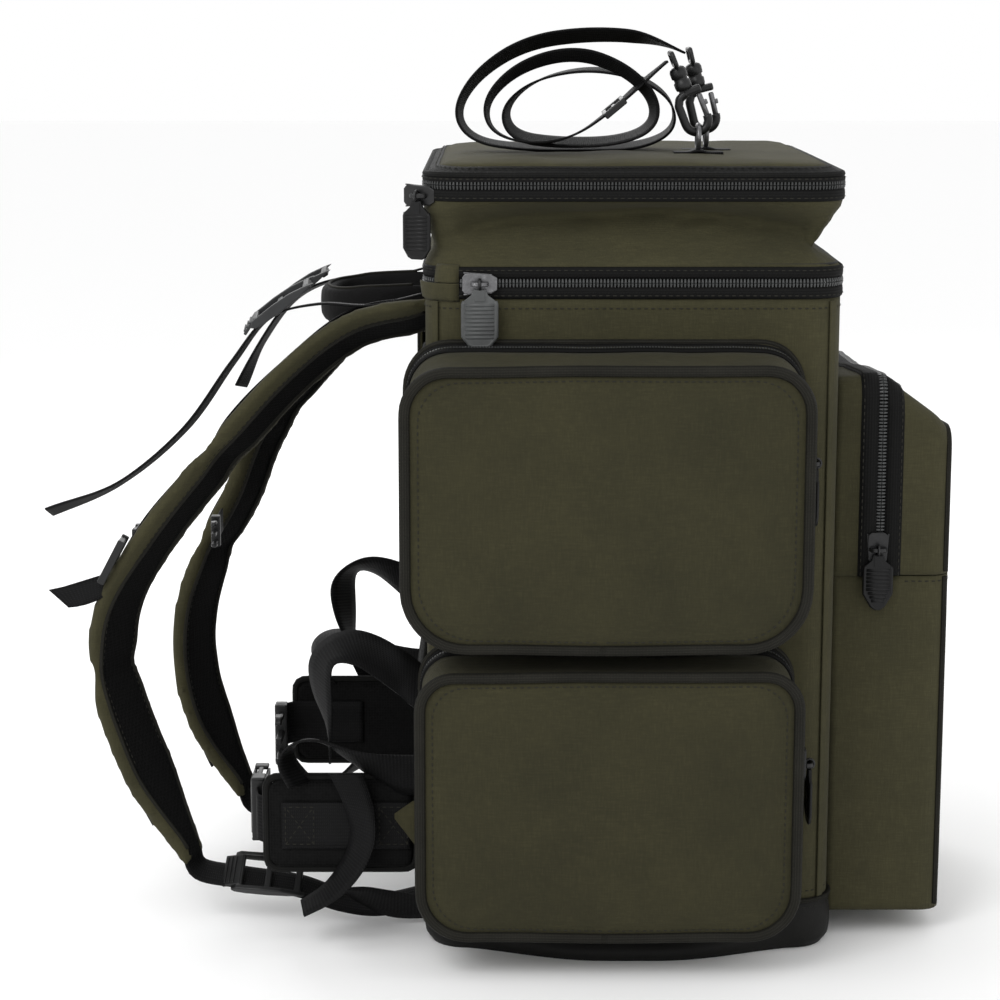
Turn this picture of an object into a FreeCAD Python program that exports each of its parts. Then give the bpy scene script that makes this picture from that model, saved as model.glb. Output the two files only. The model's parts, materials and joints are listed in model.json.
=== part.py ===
"""Fishing tackle backpack, modelled in millimetres.

The origin is the centre of the base's underside. +Z is up, +X is the front, where the big
front pocket is, and the shoulder harness is on the -X side. The wearer's left is -Y.
"""
import FreeCAD, Part
import math
import os
import Sketcher
from FreeCAD import Placement, Rotation, Vector

DIMENSIONS = {
    # main bag
    "body_depth": 314,
    "body_width": 350,
    "corner_radius": 30,
    "wall": 3,
    "base_height": 40,
    "board_inset": 9,
    "board_thickness": 3,
    "main_zip_height": 520,
    "tape_height": 12,
    "top_tape_height": 6,
    "chain_height": 3.5,
    "chain_proud": 2,
    "top_zip_height": 592,
    "lid_rise": 11,
    "lid_bevel": 8,
    "split_gap": 0.4,
    "root_depth": 1,
    # back
    "sheet_thickness": 2,
    "sheet_half_width": 125,
    "back_pad_thickness": 10,
    "back_pad_half_width": 110,
    "lumbar_pad_bottom": 75,
    "lumbar_pad_top": 205,
    "upper_pad_bottom": 240,
    "upper_pad_top": 440,
    "handle_height": 493,
    "handle_droop": 6,
    "handle_thickness": 8,
    "handle_width": 24,
    # side pockets, on both sides
    "pocket_rear": -170,
    "pocket_front": 128,
    "pocket_depth": 70,
    "pocket_corner": 34,
    "pocket_wall": 2.5,
    "pocket_frame": 12,
    "upper_pocket_bottom": 256,
    "upper_pocket_top": 463,
    "lower_pocket_bottom": 28,
    "lower_pocket_top": 236,
    "cut_margin": 20,
    # front pocket
    "front_pocket_depth": 91,
    "front_pocket_half_width": 140,
    "front_pocket_bottom": 20,
    "front_pocket_top": 444,
    "front_pocket_low_top": 404,
    "front_zip_depth": 35,
    "front_fold_height": 290,
    # zip sliders and pullers
    "main_slider_setback": 42,
    "front_slider_rise": 22,
    "upper_slider_rise": 130,
    "lower_slider_rise": 125,
    "slider_standoff": 1.5,
    "slider_length": 26,
    "slider_width": 16,
    "slider_plate": 2,
    "slider_gap": 1,
    "bridge_height": 6,
    "bridge_width": 4,
    "bridge_half": 6.5,
    "puller_length": 46,
    "puller_width": 21,
    "puller_plate": 3,
    "puller_neck": 8,
    "puller_eye": 3.5,
    "puller_wire": 1,
    # harness
    "shoulder_pad_width": 62,
    "shoulder_pad_thickness": 14,
    "shoulder_pad_tilt": 28,
    "pad_offset": 108,
    "webbing_thickness": 2,
    "narrow_webbing": 20,
    "harness_webbing": 25,
    "belt_webbing": 38,
    "fin_length": 125,
    "fin_clearance": 9,
    "fin_height": 74,
    "fin_taper": 8,
    "fin_bottom": 58,
    "fin_thickness": 12,
    "fin_offset": 150,
    "lock_length": 52,
    "lock_width": 34,
    "lock_thickness": 5,
    "lock_bar": 6,
    "buckle_length": 44,
    "buckle_height": 52,
    "buckle_thickness": 13,
    "buckle_wall": 2.5,
    "belt_bend": 26,
    "belt_bend_reach": 10,
    "belt_seam": 60,
    "sternum_outer": 76,
    "sternum_inner": 32,
    "sternum_height": 292,
    # carry strap and its fittings
    "carry_webbing": 22,
    "carry_thickness": 1.6,
    "ring_radius": 9,
    "ring_wire": 2,
    "hook_radius": 9,
    "hook_wire": 3,
    "hook_spine": 20,
    "barrel_radius": 5,
    "barrel_length": 18,
    "gate_wire": 2.2,
    "gate_clearance": 0.8,
    "eye_thickness": 4,
    "eye_height": 12,
    "eye_border": 4,
    "eye_slot": 5,
    "tab_border": 10,
}
SHEET = "Dimensions"
THROUGH = 1000

doc = FreeCAD.newDocument("TackleBackpack")
sheet = doc.addObject("Spreadsheet::Sheet", SHEET)
for row, (alias, value) in enumerate(DIMENSIONS.items(), start=1):
    sheet.set(f"A{row}", alias)
    sheet.set(f"B{row}", str(value))
    sheet.setAlias(f"B{row}", alias)
doc.recompute()
nodes = []


# ---------------------------------------------------------------- helpers

def bound(expression):
    """Write an expression of sheet aliases the way other objects read it."""
    words = []
    word = ""
    for letter in str(expression) + " ":
        if letter.isalnum() or letter in "_.":
            word += letter
            continue
        words.append(f"{SHEET}.{word}" if word in DIMENSIONS else word)
        words.append(letter)
        word = ""
    return "".join(words).strip()


def size(expression):
    """The number that an expression of sheet aliases gives now."""
    return float(sheet.evalExpression(bound(expression)))


def keep(item, label):
    """Name a finished sub-part and list it for writing."""
    item.Label = label
    nodes.append(item)
    return item


def origin_plane(body, role):
    """One of a body's own origin planes."""
    return next(plane for plane in body.Origin.OriginFeatures if plane.Role == role)


def outline(body, name, role, corners, offset="0"):
    """A closed straight-sided sketch whose corner coordinates follow expressions."""
    sketch = body.newObject("Sketcher::SketchObject", name)
    sketch.AttachmentSupport = [(origin_plane(body, role), "")]
    sketch.MapMode = "FlatFace"
    sketch.setExpression(".AttachmentOffset.Base.z", bound(offset))
    points = [Vector(size(across), size(along), 0) for across, along in corners]
    for start, end in zip(points, points[1:] + points[:1]):
        sketch.addGeometry(Part.LineSegment(start, end), False)
    count = len(points)
    for index in range(count):
        sketch.addConstraint(Sketcher.Constraint("Coincident", index, 2, (index + 1) % count, 1))
    for index, pair in enumerate(corners):
        for kind, text, place in zip(("DistanceX", "DistanceY"), pair, points[index]):
            number = sketch.addConstraint(Sketcher.Constraint(kind, -1, 1, index, 1, place))
            sketch.setExpression(f"Constraints[{number}]", bound(text))
    return sketch


def box_corners(low_across, low_along, high_across, high_along):
    """The four corners of a rectangle, as pairs of expressions."""
    return [(low_across, low_along), (high_across, low_along),
            (high_across, high_along), (low_across, high_along)]


def pad(body, sketch, length, midplane=False, reverse=False):
    """Extrude a sketch into solid."""
    feature = body.newObject("PartDesign::Pad", sketch.Name + "Pad")
    feature.Profile = sketch
    feature.setExpression("Length", bound(length))
    feature.Midplane = midplane
    feature.Reversed = reverse
    doc.recompute()
    return feature


def pocket(body, sketch):
    """Cut a sketch out, right through on both sides of its plane."""
    before = body.Shape.Volume
    feature = body.newObject("PartDesign::Pocket", sketch.Name + "Cut")
    feature.Profile = sketch
    feature.Midplane = True
    feature.Length = 2 * THROUGH
    doc.recompute()
    if not body.Shape.Volume < before - 1:
        raise RuntimeError(f"{body.Label}: {sketch.Name} cut nothing")
    return feature


def edges_along(shape, direction, test=lambda middle: True):
    """Names of the straight edges that run along a direction."""
    names = []
    for number, edge in enumerate(shape.Edges, start=1):
        if edge.Curve.TypeId != "Part::GeomLine":
            continue
        if abs(edge.Curve.Direction.dot(direction)) > 0.999 and test(edge.CenterOfMass):
            names.append(f"Edge{number}")
    return names


def faces_facing(shape, *directions):
    """Names of the flat faces whose outward normal is one of the directions."""
    names = []
    for number, face in enumerate(shape.Faces, start=1):
        normal = face.normalAt(0, 0)
        if any(normal.dot(direction) > 0.999 for direction in directions):
            names.append(f"Face{number}")
    return names


def fillet(body, feature, edges, radius):
    """Round the named edges of the body's last feature."""
    rounding = body.newObject("PartDesign::Fillet", body.Name + "Fillet")
    rounding.Base = (feature, edges)
    rounding.setExpression("Radius", bound(radius))
    doc.recompute()
    return rounding


def hollow(body, feature, open_faces, thickness):
    """Leave a wall of one thickness, open at the named faces."""
    shell = body.newObject("PartDesign::Thickness", body.Name + "Shell")
    shell.Base = (feature, open_faces)
    shell.setExpression("Value", bound(thickness))
    shell.Reversed = True
    shell.Mode = 0
    shell.Join = 0
    doc.recompute()
    return shell


def lift(item, **expressions):
    """Bind a primitive's sizes and place to the sheet."""
    for name, text in expressions.items():
        item.setExpression(name.replace("__", "."), bound(text))
    return item


X, Y, Z = Vector(1, 0, 0), Vector(0, 1, 0), Vector(0, 0, 1)


def rounded_block(label, bottom, height, grow="0"):
    """A block with the bag's plan, its four upright corners rounded."""
    body = doc.addObject("PartDesign::Body", label + "Body")
    half_depth, half_width = f"(body_depth / 2 + {grow})", f"(body_width / 2 + {grow})"
    plan = outline(body, label + "Plan", "XY_Plane",
                   box_corners(f"-{half_depth}", f"-{half_width}", half_depth, half_width), bottom)
    block = pad(body, plan, height)
    corners = edges_along(block.Shape, Z)
    return body, fillet(body, block, corners, f"corner_radius + {grow}")


def ring(label, bottom, height, thickness, grow="0"):
    """A band that follows the bag's plan."""
    body, block = rounded_block(label, bottom, height, grow)
    hollow(body, block, faces_facing(block.Shape, Z, -Z), thickness)
    return body


# ---------------------------------------------------------------- main bag

def make_base():
    """Tray-shaped base of coated cloth, and the stiff board that lies in it."""
    body, block = rounded_block("base_panel", "0", "base_height")
    hollow(body, block, faces_facing(block.Shape, Z), "wall")
    keep(body, "base_panel")
    body, block = rounded_block("base_board", "wall", "board_thickness", "-board_inset")
    keep(body, "base_board")


def make_wall(label, *cuts):
    """One wall panel: what is left of a ring round the bag after the cuts in plan."""
    body = ring(label, "base_height", "main_zip_height - tape_height - base_height", "wall")
    for number, cut in enumerate(cuts):
        pocket(body, outline(body, f"{label}Cut{number}", "XY_Plane", cut))
    keep(body, label)


def make_walls():
    """Back, front and two side panels, which meet where the corners begin."""
    far = "body_width"
    rear_line = "-body_depth / 2 + corner_radius"
    front_line = "body_depth / 2 - corner_radius"
    behind = box_corners("-body_width", f"-{far}", rear_line, far)
    in_front = box_corners(front_line, f"-{far}", "body_width", far)
    make_wall("back_panel", box_corners(rear_line, f"-{far}", "body_width", far))
    make_wall("front_panel", box_corners("-body_width", f"-{far}", front_line, far))
    make_wall("left_side_panel", behind, in_front, box_corners("-body_width", "0", "body_width", far))
    make_wall("right_side_panel", behind, in_front, box_corners("-body_width", f"-{far}", "body_width", "0"))


def make_zip_band(label, zip_height, side, tape="tape_height"):
    """Half of a zip that runs round three sides: its tape, and its teeth standing proud of it.

    side is 1 for the half above the teeth's middle and -1 for the half below.
    """
    low, high = f"{zip_height} + split_gap / 2", "chain_height - split_gap / 2"
    tape_low = low
    if side < 0:
        low = f"{zip_height} - chain_height"
        tape_low = f"{zip_height} - {tape}"
    body = ring(label, tape_low, f"{tape} - split_gap / 2", "wall")
    end_x, end_y = "(body_depth / 2 - corner_radius)", "(body_width / 2 - corner_radius)"
    inner_x, outer_x = "body_depth / 2 - root_depth", "body_depth / 2 + chain_proud"
    inner_y, outer_y = "(body_width / 2 - root_depth)", "(body_width / 2 + chain_proud)"
    rows = {
        "Left": box_corners(f"-{end_x}", f"-{outer_y}", end_x, f"-{inner_y}"),
        "Right": box_corners(f"-{end_x}", inner_y, end_x, outer_y),
        "Front": box_corners(inner_x, f"-{end_y}", outer_x, end_y),
    }
    for row, corners in rows.items():
        pad(body, outline(body, f"{label}{row}", "XY_Plane", corners, low), high)
    keep(body, label)


def make_lid():
    """The deep lid: a box that is the lid of the main space and a zipped space of its own."""
    bottom, top = "main_zip_height + tape_height", "top_zip_height - tape_height"
    body, block = rounded_block("lid_box", bottom, f"{top} - ({bottom})")
    hollow(body, block, faces_facing(block.Shape, Z), "wall")
    keep(body, "lid_box")


def make_top_lid():
    """The crowned panel that closes the lid's own space: a block with a bevelled rim."""
    body, block = rounded_block("top_lid", "top_zip_height + top_tape_height", "lid_rise")
    top = block.Shape.BoundBox.ZMax
    rim = [f"Edge{number}" for number, edge in enumerate(block.Shape.Edges, start=1)
           if abs(edge.BoundBox.ZMin - top) < 0.01 and edge.BoundBox.ZLength < 0.01]
    bevel = body.newObject("PartDesign::Chamfer", "LidBevel")
    bevel.Base = (block, rim)
    bevel.setExpression("Size", bound("lid_bevel"))
    doc.recompute()
    keep(body, "top_lid")


# ---------------------------------------------------------------- pockets

def side_pocket_shell(label, bottom, top, side):
    """A side pocket's skin, open towards the bag, on the left (-1) or right (1) side."""
    body = doc.addObject("PartDesign::Body", label + "Body")
    wall_face = f"{side} * body_width / 2"
    face = outline(body, label + "Face", "XZ_Plane",
                   box_corners("pocket_rear", bottom, "pocket_front", top), f"-({wall_face})")
    block = pad(body, face, "pocket_depth", reverse=side > 0)
    rounded = fillet(body, block, edges_along(block.Shape, Y), "pocket_corner")
    hollow(body, rounded, faces_facing(rounded.Shape, Y * -side), "pocket_wall")
    return body


def pocket_split(bottom, top, side, gap):
    """The line that parts cover from tub, seen along X: down the frame, then across to the hinge."""
    frame = f"{side} * (body_width / 2 + pocket_frame + {gap})"
    middle = f"({bottom} + {top}) / 2 + {gap}"
    outer = f"{side} * (body_width / 2 + pocket_depth)"
    return [(frame, f"{top} + root_depth"), (frame, middle), (outer, f"{bottom} + {gap}")]


def make_side_pocket(name, side, bottom, top):
    """One side pocket: a tub sewn to the bag, and a cover that folds down from its bottom edge."""
    beyond = f"{side} * (body_width / 2 + pocket_depth + cut_margin)"
    inner = f"{side} * (body_width / 2 - cut_margin)"
    below, above = f"{bottom} - cut_margin", f"{top} + root_depth"
    cover = side_pocket_shell(name + "_cover", bottom, top, side)
    tub_area = pocket_split(bottom, top, side, "split_gap") + [
        (beyond, f"{bottom} + split_gap"), (beyond, below), (inner, below), (inner, above)]
    pocket(cover, outline(cover, name + "CoverSplit", "YZ_Plane", tub_area))
    keep(cover, name + "_cover")
    tub = side_pocket_shell(name + "_tub", bottom, top, side)
    cover_area = pocket_split(bottom, top, side, "0") + [(beyond, bottom), (beyond, above)]
    pocket(tub, outline(tub, name + "TubSplit", "YZ_Plane", cover_area))
    return tub


def make_side_pockets():
    """Two pockets, one above the other, on each side; the tubs of a side share a node."""
    for side, hand in ((-1, "left"), (1, "right")):
        tubs = []
        for level in ("upper", "lower"):
            bottom, top = f"{level}_pocket_bottom", f"{level}_pocket_top"
            tubs.append(make_side_pocket(f"{hand}_{level}_pocket", side, bottom, top))
        group(f"{hand}_pocket_tubs", tubs)


def group(label, members):
    """Several separate solids in one node."""
    compound = doc.addObject("Part::Compound", label + "Group")
    compound.Links = members
    doc.recompute()
    return keep(compound, label)


def front_pocket_shell(label):
    """The front pocket's skin, open towards the bag, with a top that slopes down to the front."""
    body = doc.addObject("PartDesign::Body", label + "Body")
    rear, front = "body_depth / 2", "body_depth / 2 + front_pocket_depth"
    profile = outline(body, label + "Profile", "XZ_Plane", [
        (rear, "front_pocket_bottom"), (front, "front_pocket_bottom"), (front, "front_pocket_low_top"),
        ("body_depth / 2 + front_zip_depth", "front_pocket_top"), (rear, "front_pocket_top")])
    block = pad(body, profile, "2 * front_pocket_half_width", midplane=True)
    outer_edges = edges_along(block.Shape, Z, lambda middle: middle.x > size(rear) + 1)
    rounded = fillet(body, block, outer_edges, "corner_radius / 2")
    hollow(body, rounded, faces_facing(rounded.Shape, -X), "wall")
    return body


def make_front_pocket():
    """The front pocket: a deep tub, and an upper flap that folds forward at the sewn line."""
    zip_line, fold = "body_depth / 2 + front_zip_depth", "front_fold_height"
    flap = front_pocket_shell("front_pocket_flap")
    pocket(flap, outline(flap, "FlapSplit", "XZ_Plane", [
        ("0", "0"), ("body_width", "0"), ("body_width", f"{fold} + split_gap"),
        (f"{zip_line} + split_gap", f"{fold} + split_gap"), (f"{zip_line} + split_gap", "top_zip_height"),
        ("0", "top_zip_height")]))
    keep(flap, "front_pocket_flap")
    tub = front_pocket_shell("front_pocket_tub")
    pocket(tub, outline(tub, "TubSplit", "XZ_Plane",
                        box_corners(zip_line, fold, "body_width", "top_zip_height")))
    keep(tub, "front_pocket_tub")


def make_pocket_chains():
    """The straight runs of teeth that the pockets' sliders travel on."""
    chains = []
    for side in (-1, 1):
        for level in ("upper", "lower"):
            body = doc.addObject("PartDesign::Body", f"Chain{level}{side + 1}")
            middle = f"{side} * (body_width / 2 + pocket_frame - chain_height / 2)"
            plan = outline(body, f"ChainPlan{level}{side + 1}", "XY_Plane", box_corners(
                "pocket_front", f"{middle} - chain_height / 2",
                "pocket_front + chain_proud / 2", f"{middle} + chain_height / 2"),
                f"({level}_pocket_bottom + {level}_pocket_top) / 2")
            pad(body, plan, f"({level}_pocket_top - {level}_pocket_bottom) / 2 - pocket_corner")
            chains.append(body)
    body = doc.addObject("PartDesign::Body", "ChainFront")
    zip_line = "body_depth / 2 + front_zip_depth"
    plan = outline(body, "ChainPlanFront", "XY_Plane", box_corners(
        f"{zip_line} - chain_height", "-front_pocket_half_width - chain_proud / 2",
        zip_line, "-front_pocket_half_width"), "front_fold_height")
    pad(body, plan, "front_pocket_top - front_fold_height - corner_radius")
    chains.append(body)
    group("pocket_zip_chains", chains)


# ---------------------------------------------------------------- zip sliders and pullers

class Zip:
    """Where a slider sits, which way it faces, and whether its zip runs upright there."""

    def __init__(self, name, place, facing, upright=False):
        self.name = name
        self.place = place
        self.facing = facing
        self.upright = upright

    def placement(self):
        """Local Y is outwards and Z is up."""
        return Placement(Vector(*(size(value) for value in self.place)), Rotation(Z, self.facing))


SIDE_ZIP_X = "pocket_front + chain_proud / 2"
SIDE_ZIP_Y = "(body_width / 2 + slider_width / 2 + slider_standoff)"
CORNER_TURN = 62
ALONG_CORNER = math.sin(math.radians(CORNER_TURN))
ACROSS_CORNER = math.cos(math.radians(CORNER_TURN))
MAIN_X = "-body_depth / 2 + main_slider_setback"
MAIN_Y = "-body_width / 2 - chain_proud"
TOP_X = f"-body_depth / 2 + corner_radius - (corner_radius + chain_proud) * {ALONG_CORNER}"
TOP_Y = f"-body_width / 2 + corner_radius - (corner_radius + chain_proud) * {ACROSS_CORNER}"
TOP_Z = "top_zip_height - slider_width / 2 - split_gap"
FRONT_X = "body_depth / 2 + front_zip_depth - chain_height / 2"
FRONT_Y = "-front_pocket_half_width - chain_proud / 2"
FRONT_Z = "front_fold_height + front_slider_rise"
UPPER_Z = "upper_pocket_bottom + upper_slider_rise"
LOWER_Z = "lower_pocket_bottom + lower_slider_rise"
FACING_LEFT, FACING_FRONT = 180, -90
ZIPS = [
    Zip("main", (MAIN_X, MAIN_Y, "main_zip_height"), FACING_LEFT),
    Zip("top", (TOP_X, TOP_Y, TOP_Z), FACING_LEFT - CORNER_TURN),
    Zip("front", (FRONT_X, FRONT_Y, FRONT_Z), FACING_LEFT, True),
    Zip("left_upper", (SIDE_ZIP_X, f"-{SIDE_ZIP_Y}", UPPER_Z), FACING_FRONT, True),
    Zip("left_lower", (SIDE_ZIP_X, f"-{SIDE_ZIP_Y}", LOWER_Z), FACING_FRONT, True),
    Zip("right_upper", (SIDE_ZIP_X, SIDE_ZIP_Y, UPPER_Z), FACING_FRONT, True),
    Zip("right_lower", (SIDE_ZIP_X, SIDE_ZIP_Y, LOWER_Z), FACING_FRONT, True),
]


def make_slider(item):
    """A slider's outer plate, with the loop that holds the puller standing on it."""
    body = doc.addObject("PartDesign::Body", item.name + "SliderBody")
    near, far = "slider_gap / 2", "(slider_gap / 2 + slider_plate)"
    half, waist = "slider_length / 2", "slider_width / 2"
    narrow = f"{waist} * 0.6"
    corners = [(f"-{half}", f"-{narrow}"), (half, f"-{waist}"), (half, waist), (f"-{half}", narrow)]
    if item.upright:
        corners = [(across, along) for along, across in reversed(corners)]
    pad(body, outline(body, item.name + "Plate", "XZ_Plane", corners, f"-({far})"), "slider_plate")
    loop = outline(body, item.name + "Loop", "XY_Plane", box_corners(
        "-bridge_half", near, "bridge_half", f"{far} + bridge_height"))
    pad(body, loop, "bridge_width", midplane=True)
    eye_half = "(bridge_half - slider_plate)"
    pocket(body, outline(body, item.name + "Window", "XY_Plane", box_corners(
        f"-{eye_half}", far, eye_half, f"{far} + bridge_height - slider_plate")))
    body.Placement = item.placement()
    keep(body, item.name + "_zip_slider")


def make_puller(item):
    """A long pull tab hanging from an eye that goes round the slider's loop."""
    eye = lift(doc.addObject("Part::Torus", item.name + "Eye"), Radius1="puller_eye", Radius2="puller_wire")
    eye.Placement = Placement(Vector(), Rotation(Y, 90))
    body = doc.addObject("PartDesign::Body", item.name + "PullerBody")
    half, neck, tip = "puller_width / 2", "puller_neck / 2", "puller_width / 2 * 0.45"
    shoulder, taper, end = "-puller_length * 0.3", "-puller_length * 0.72", "-puller_length"
    tab = outline(body, item.name + "Tab", "XZ_Plane", [
        (f"-{neck}", "-puller_eye"), (f"-{half}", shoulder), (f"-{half}", taper), (f"-{tip}", end),
        (tip, end), (half, taper), (half, shoulder), (neck, "-puller_eye")], "-puller_plate / 2")
    pad(body, tab, "puller_plate")
    joined = doc.addObject("Part::MultiFuse", item.name + "Puller")
    joined.Shapes = [eye, body]
    stand_off = size("slider_gap / 2 + slider_plate + bridge_height - slider_plate / 2")
    joined.Placement = item.placement().multiply(Placement(Vector(0, stand_off, 0), Rotation()))
    doc.recompute()
    keep(joined, item.name + "_zip_puller")


def make_zips():
    """Every slider and its puller."""
    for item in ZIPS:
        make_slider(item)
        make_puller(item)


# ---------------------------------------------------------------- webbing and pads

SWEEP_TOLERANCE = 0.06


def smooth_path(points):
    """Straight runs joined by tangent arcs, as large as the runs beside each corner allow."""
    edges = []
    start = points[0]
    for before, corner, after in zip(points, points[1:], points[2:]):
        arriving, leaving = (corner - before), (after - corner)
        turn = arriving.getAngle(leaving)
        cut = 0.45 * min(arriving.Length, leaving.Length)
        radius = cut / math.tan(turn / 2)
        arriving.normalize()
        leaving.normalize()
        enter, leave = corner - arriving * cut, corner + leaving * cut
        inward = leaving - arriving
        inward.normalize()
        middle = corner + inward * (radius / math.cos(turn / 2) - radius)
        edges.append(Part.LineSegment(start, enter).toShape())
        edges.append(Part.Arc(enter, middle, leave).toShape())
        start = leave
    edges.append(Part.LineSegment(start, points[-1]).toShape())
    return Part.Wire(edges)


def rectangle(middle, across, up, width, height):
    """A closed outline about a middle, its width along one direction and its height along another."""
    corners = [middle + across * (width / 2 * side) + up * (height / 2 * level)
               for side, level in ((-1, -1), (1, -1), (1, 1), (-1, 1), (-1, -1))]
    return Part.makePolygon(corners)


def swept(points, width, thickness, tilt=0):
    """A flat strip along a route: its width lies along Y, turned by tilt about the route."""
    path = smooth_path(points)
    direction = points[1] - points[0]
    direction.normalize()
    across = Y - direction * Y.dot(direction)
    across.normalize()
    turn = Rotation(direction, tilt)
    outward = turn.multVec(direction.cross(across))
    profile = rectangle(points[0], turn.multVec(across), outward, width, thickness)
    sweep = Part.BRepOffsetAPI.MakePipeShell(path)
    sweep.setBiNormalMode(Y)
    sweep.add(profile)
    sweep.build()
    sweep.makeSolid()
    solid = sweep.shape()
    if solid.Volume < 0:
        solid = Part.Solid(Part.Shell(solid.reversed().Faces))
    expected = path.Length * width * thickness
    if abs(solid.Volume / expected - 1) > SWEEP_TOLERANCE:
        raise RuntimeError(f"sweep volume {solid.Volume:.0f} is not near {expected:.0f}")
    return solid


def route(pairs, offset):
    """Points in an upright plane at one Y, from (X, Z) pairs."""
    return [Vector(along, offset, up) for along, up in pairs]


def feature(label, shape, place=None):
    """A sub-part whose shape is made above, from sizes in the sheet."""
    item = doc.addObject("Part::Feature", label + "Shape")
    item.Shape = shape
    item.Placement = place or Placement()
    return item


NEAR, FAR = -size("pad_offset"), size("pad_offset")
LEFT_PAD = [(-162, 488), (-212, 476), (-262, 438), (-318, 376), (-368, 314), (-400, 258), (-404, 204),
            (-389, 150), (-366, 96), (-344, 52)]
RIGHT_PAD = [(-164.5, 487), (-206, 470), (-258, 420), (-300, 362), (-322, 308), (-350, 254), (-366, 198),
             (-364, 142), (-346, 88), (-322, 40)]
LEFT_LOWER = [(-340, 43), (-306, 36), (-262, 29), (-228, 17), (-196, 13), (-158, 21)]
RIGHT_LOWER = [(-318, 31), (-296, 26), (-256, 24), (-220, 15), (-190, 13), (-158, 21)]
LEFT_LIFTER = [(-158, 505), (-200, 496), (-240, 497), (-278, 486), (-306, 452), (-344, 400), (-396, 357),
               (-452, 334)]
RIGHT_LIFTER = [(-158, 505), (-200, 495), (-238, 494), (-274, 478), (-302, 442), (-322, 402)]
BELT_LOOP = [(-158, 212), (-186, 236), (-220, 244), (-244, 226), (-242, 196), (-232, 166), (-233, 140)]


def make_back():
    """The stiffener inside the back, and the two pads on its outside."""
    stiffener = doc.addObject("Part::Box", "FrameSheet")
    sizes = {
        "Length": "sheet_thickness", "Width": "2 * sheet_half_width",
        "Height": "main_zip_height - tape_height - base_height - 2 * wall",
        "Placement.Base.x": "-body_depth / 2 + wall", "Placement.Base.y": "-sheet_half_width",
        "Placement.Base.z": "base_height + wall",
    }
    for name, text in sizes.items():
        stiffener.setExpression(name, bound(text))
    keep(stiffener, "frame_sheet")
    pads = []
    for name in ("lumbar", "upper"):
        body = doc.addObject("PartDesign::Body", name + "Pad")
        low, high = f"{name}_pad_bottom", f"{name}_pad_top"
        corners = box_corners("-back_pad_half_width", low, "back_pad_half_width", high)
        face = outline(body, name + "Face", "YZ_Plane", corners, "-body_depth / 2 - back_pad_thickness")
        block = pad(body, face, "back_pad_thickness")
        fillet(body, block, edges_along(block.Shape, X), "corner_radius / 2")
        pads.append(body)
    group("back_pads", pads)


def make_shoulder_pads():
    """Two padded shoulder straps, their faces turned a little towards the left."""
    width, thickness = size("shoulder_pad_width"), size("shoulder_pad_thickness")
    tilt = size("shoulder_pad_tilt")
    for hand, pairs, offset in (("left", LEFT_PAD, NEAR), ("right", RIGHT_PAD, FAR)):
        solid = swept(route(pairs, offset), width, thickness, tilt)
        keep(feature(f"{hand}_shoulder_pad", solid), f"{hand}_shoulder_pad")


def webbing_pair(label, left, right, width, near=NEAR, far=FAR):
    """The same strap on both sides, as two solids in one node."""
    thickness = size("webbing_thickness")
    group(label, [feature(label + "Left", swept(route(left, near), width, thickness)),
                  feature(label + "Right", swept(route(right, far), width, thickness))])


def make_harness_webbing():
    """Load lifters, lower adjusting straps and the belt's loose loops."""
    webbing_pair("load_lifter_straps", LEFT_LIFTER, RIGHT_LIFTER, size("narrow_webbing"))
    webbing_pair("lower_straps", LEFT_LOWER, RIGHT_LOWER, size("harness_webbing"))
    webbing_pair("belt_slack_loops", BELT_LOOP, BELT_LOOP, size("belt_webbing"),
                 -size("fin_offset"), size("fin_offset"))


# each lock's name, Y, X, Z and turn about Y
LOCKS = [("UpperLeft", NEAR, -262, 503, -8), ("UpperRight", FAR, -258, 499, -8),
         ("LowerLeft", NEAR, -284, 39, 9), ("LowerRight", FAR, -276, 32, 4)]


def make_ladder_locks():
    """Four plastic buckles with two bars each, one at each end of each shoulder strap."""
    long, wide = "lock_length / 2", "lock_width / 2"
    border = "lock_bar * 0.75"
    locks = []
    for name, offset, along, up, tilt in LOCKS:
        body = doc.addObject("PartDesign::Body", name + "Lock")
        plate = outline(body, name + "Plate", "XY_Plane", [
            (f"-{long}", f"-{wide} * 0.7"), (f"-{long} * 0.7", f"-{wide}"), (f"{long} * 0.8", f"-{wide}"),
            (long, f"-{wide} * 0.8"), (long, f"{wide} * 0.8"), (f"{long} * 0.8", wide),
            (f"-{long} * 0.7", wide), (f"-{long}", f"{wide} * 0.7")])
        pad(body, plate, "lock_thickness")
        for number, (low, high) in enumerate(((f"-{long}", "0"), ("0", long))):
            pocket(body, outline(body, f"{name}Slot{number}", "XY_Plane", box_corners(
                f"{low} + lock_bar", f"-{wide} + {border}", f"{high} - lock_bar", f"{wide} - {border}")))
        body.Placement = Placement(Vector(along, offset, up), Rotation(Y, tilt))
        locks.append(body)
    group("ladder_locks", locks)


# the handle's middle line from above, from the back panel outwards and back
HANDLE_ARCH = [(-159, -52), (-196, -54), (-228, -38), (-238, 0), (-228, 38), (-196, 54), (-159, 52)]


def make_handle():
    """The padded haul loop at the top of the back."""
    points = [Vector(along, across, 0) for along, across in HANDLE_ARCH]
    section = rectangle(points[0], Y, Z, size("handle_thickness"), size("handle_width"))
    solid = smooth_path(points).makePipeShell([section], True, False)
    droop = Rotation(Y, -size("handle_droop"))
    hinge = Vector(-size("body_depth / 2"), 0, 0)
    place = Placement(Vector(0, 0, size("handle_height")) + hinge - droop.multVec(hinge), droop)
    keep(feature("grab_handle", solid, place), "grab_handle")


# ---------------------------------------------------------------- belt and buckles

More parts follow.
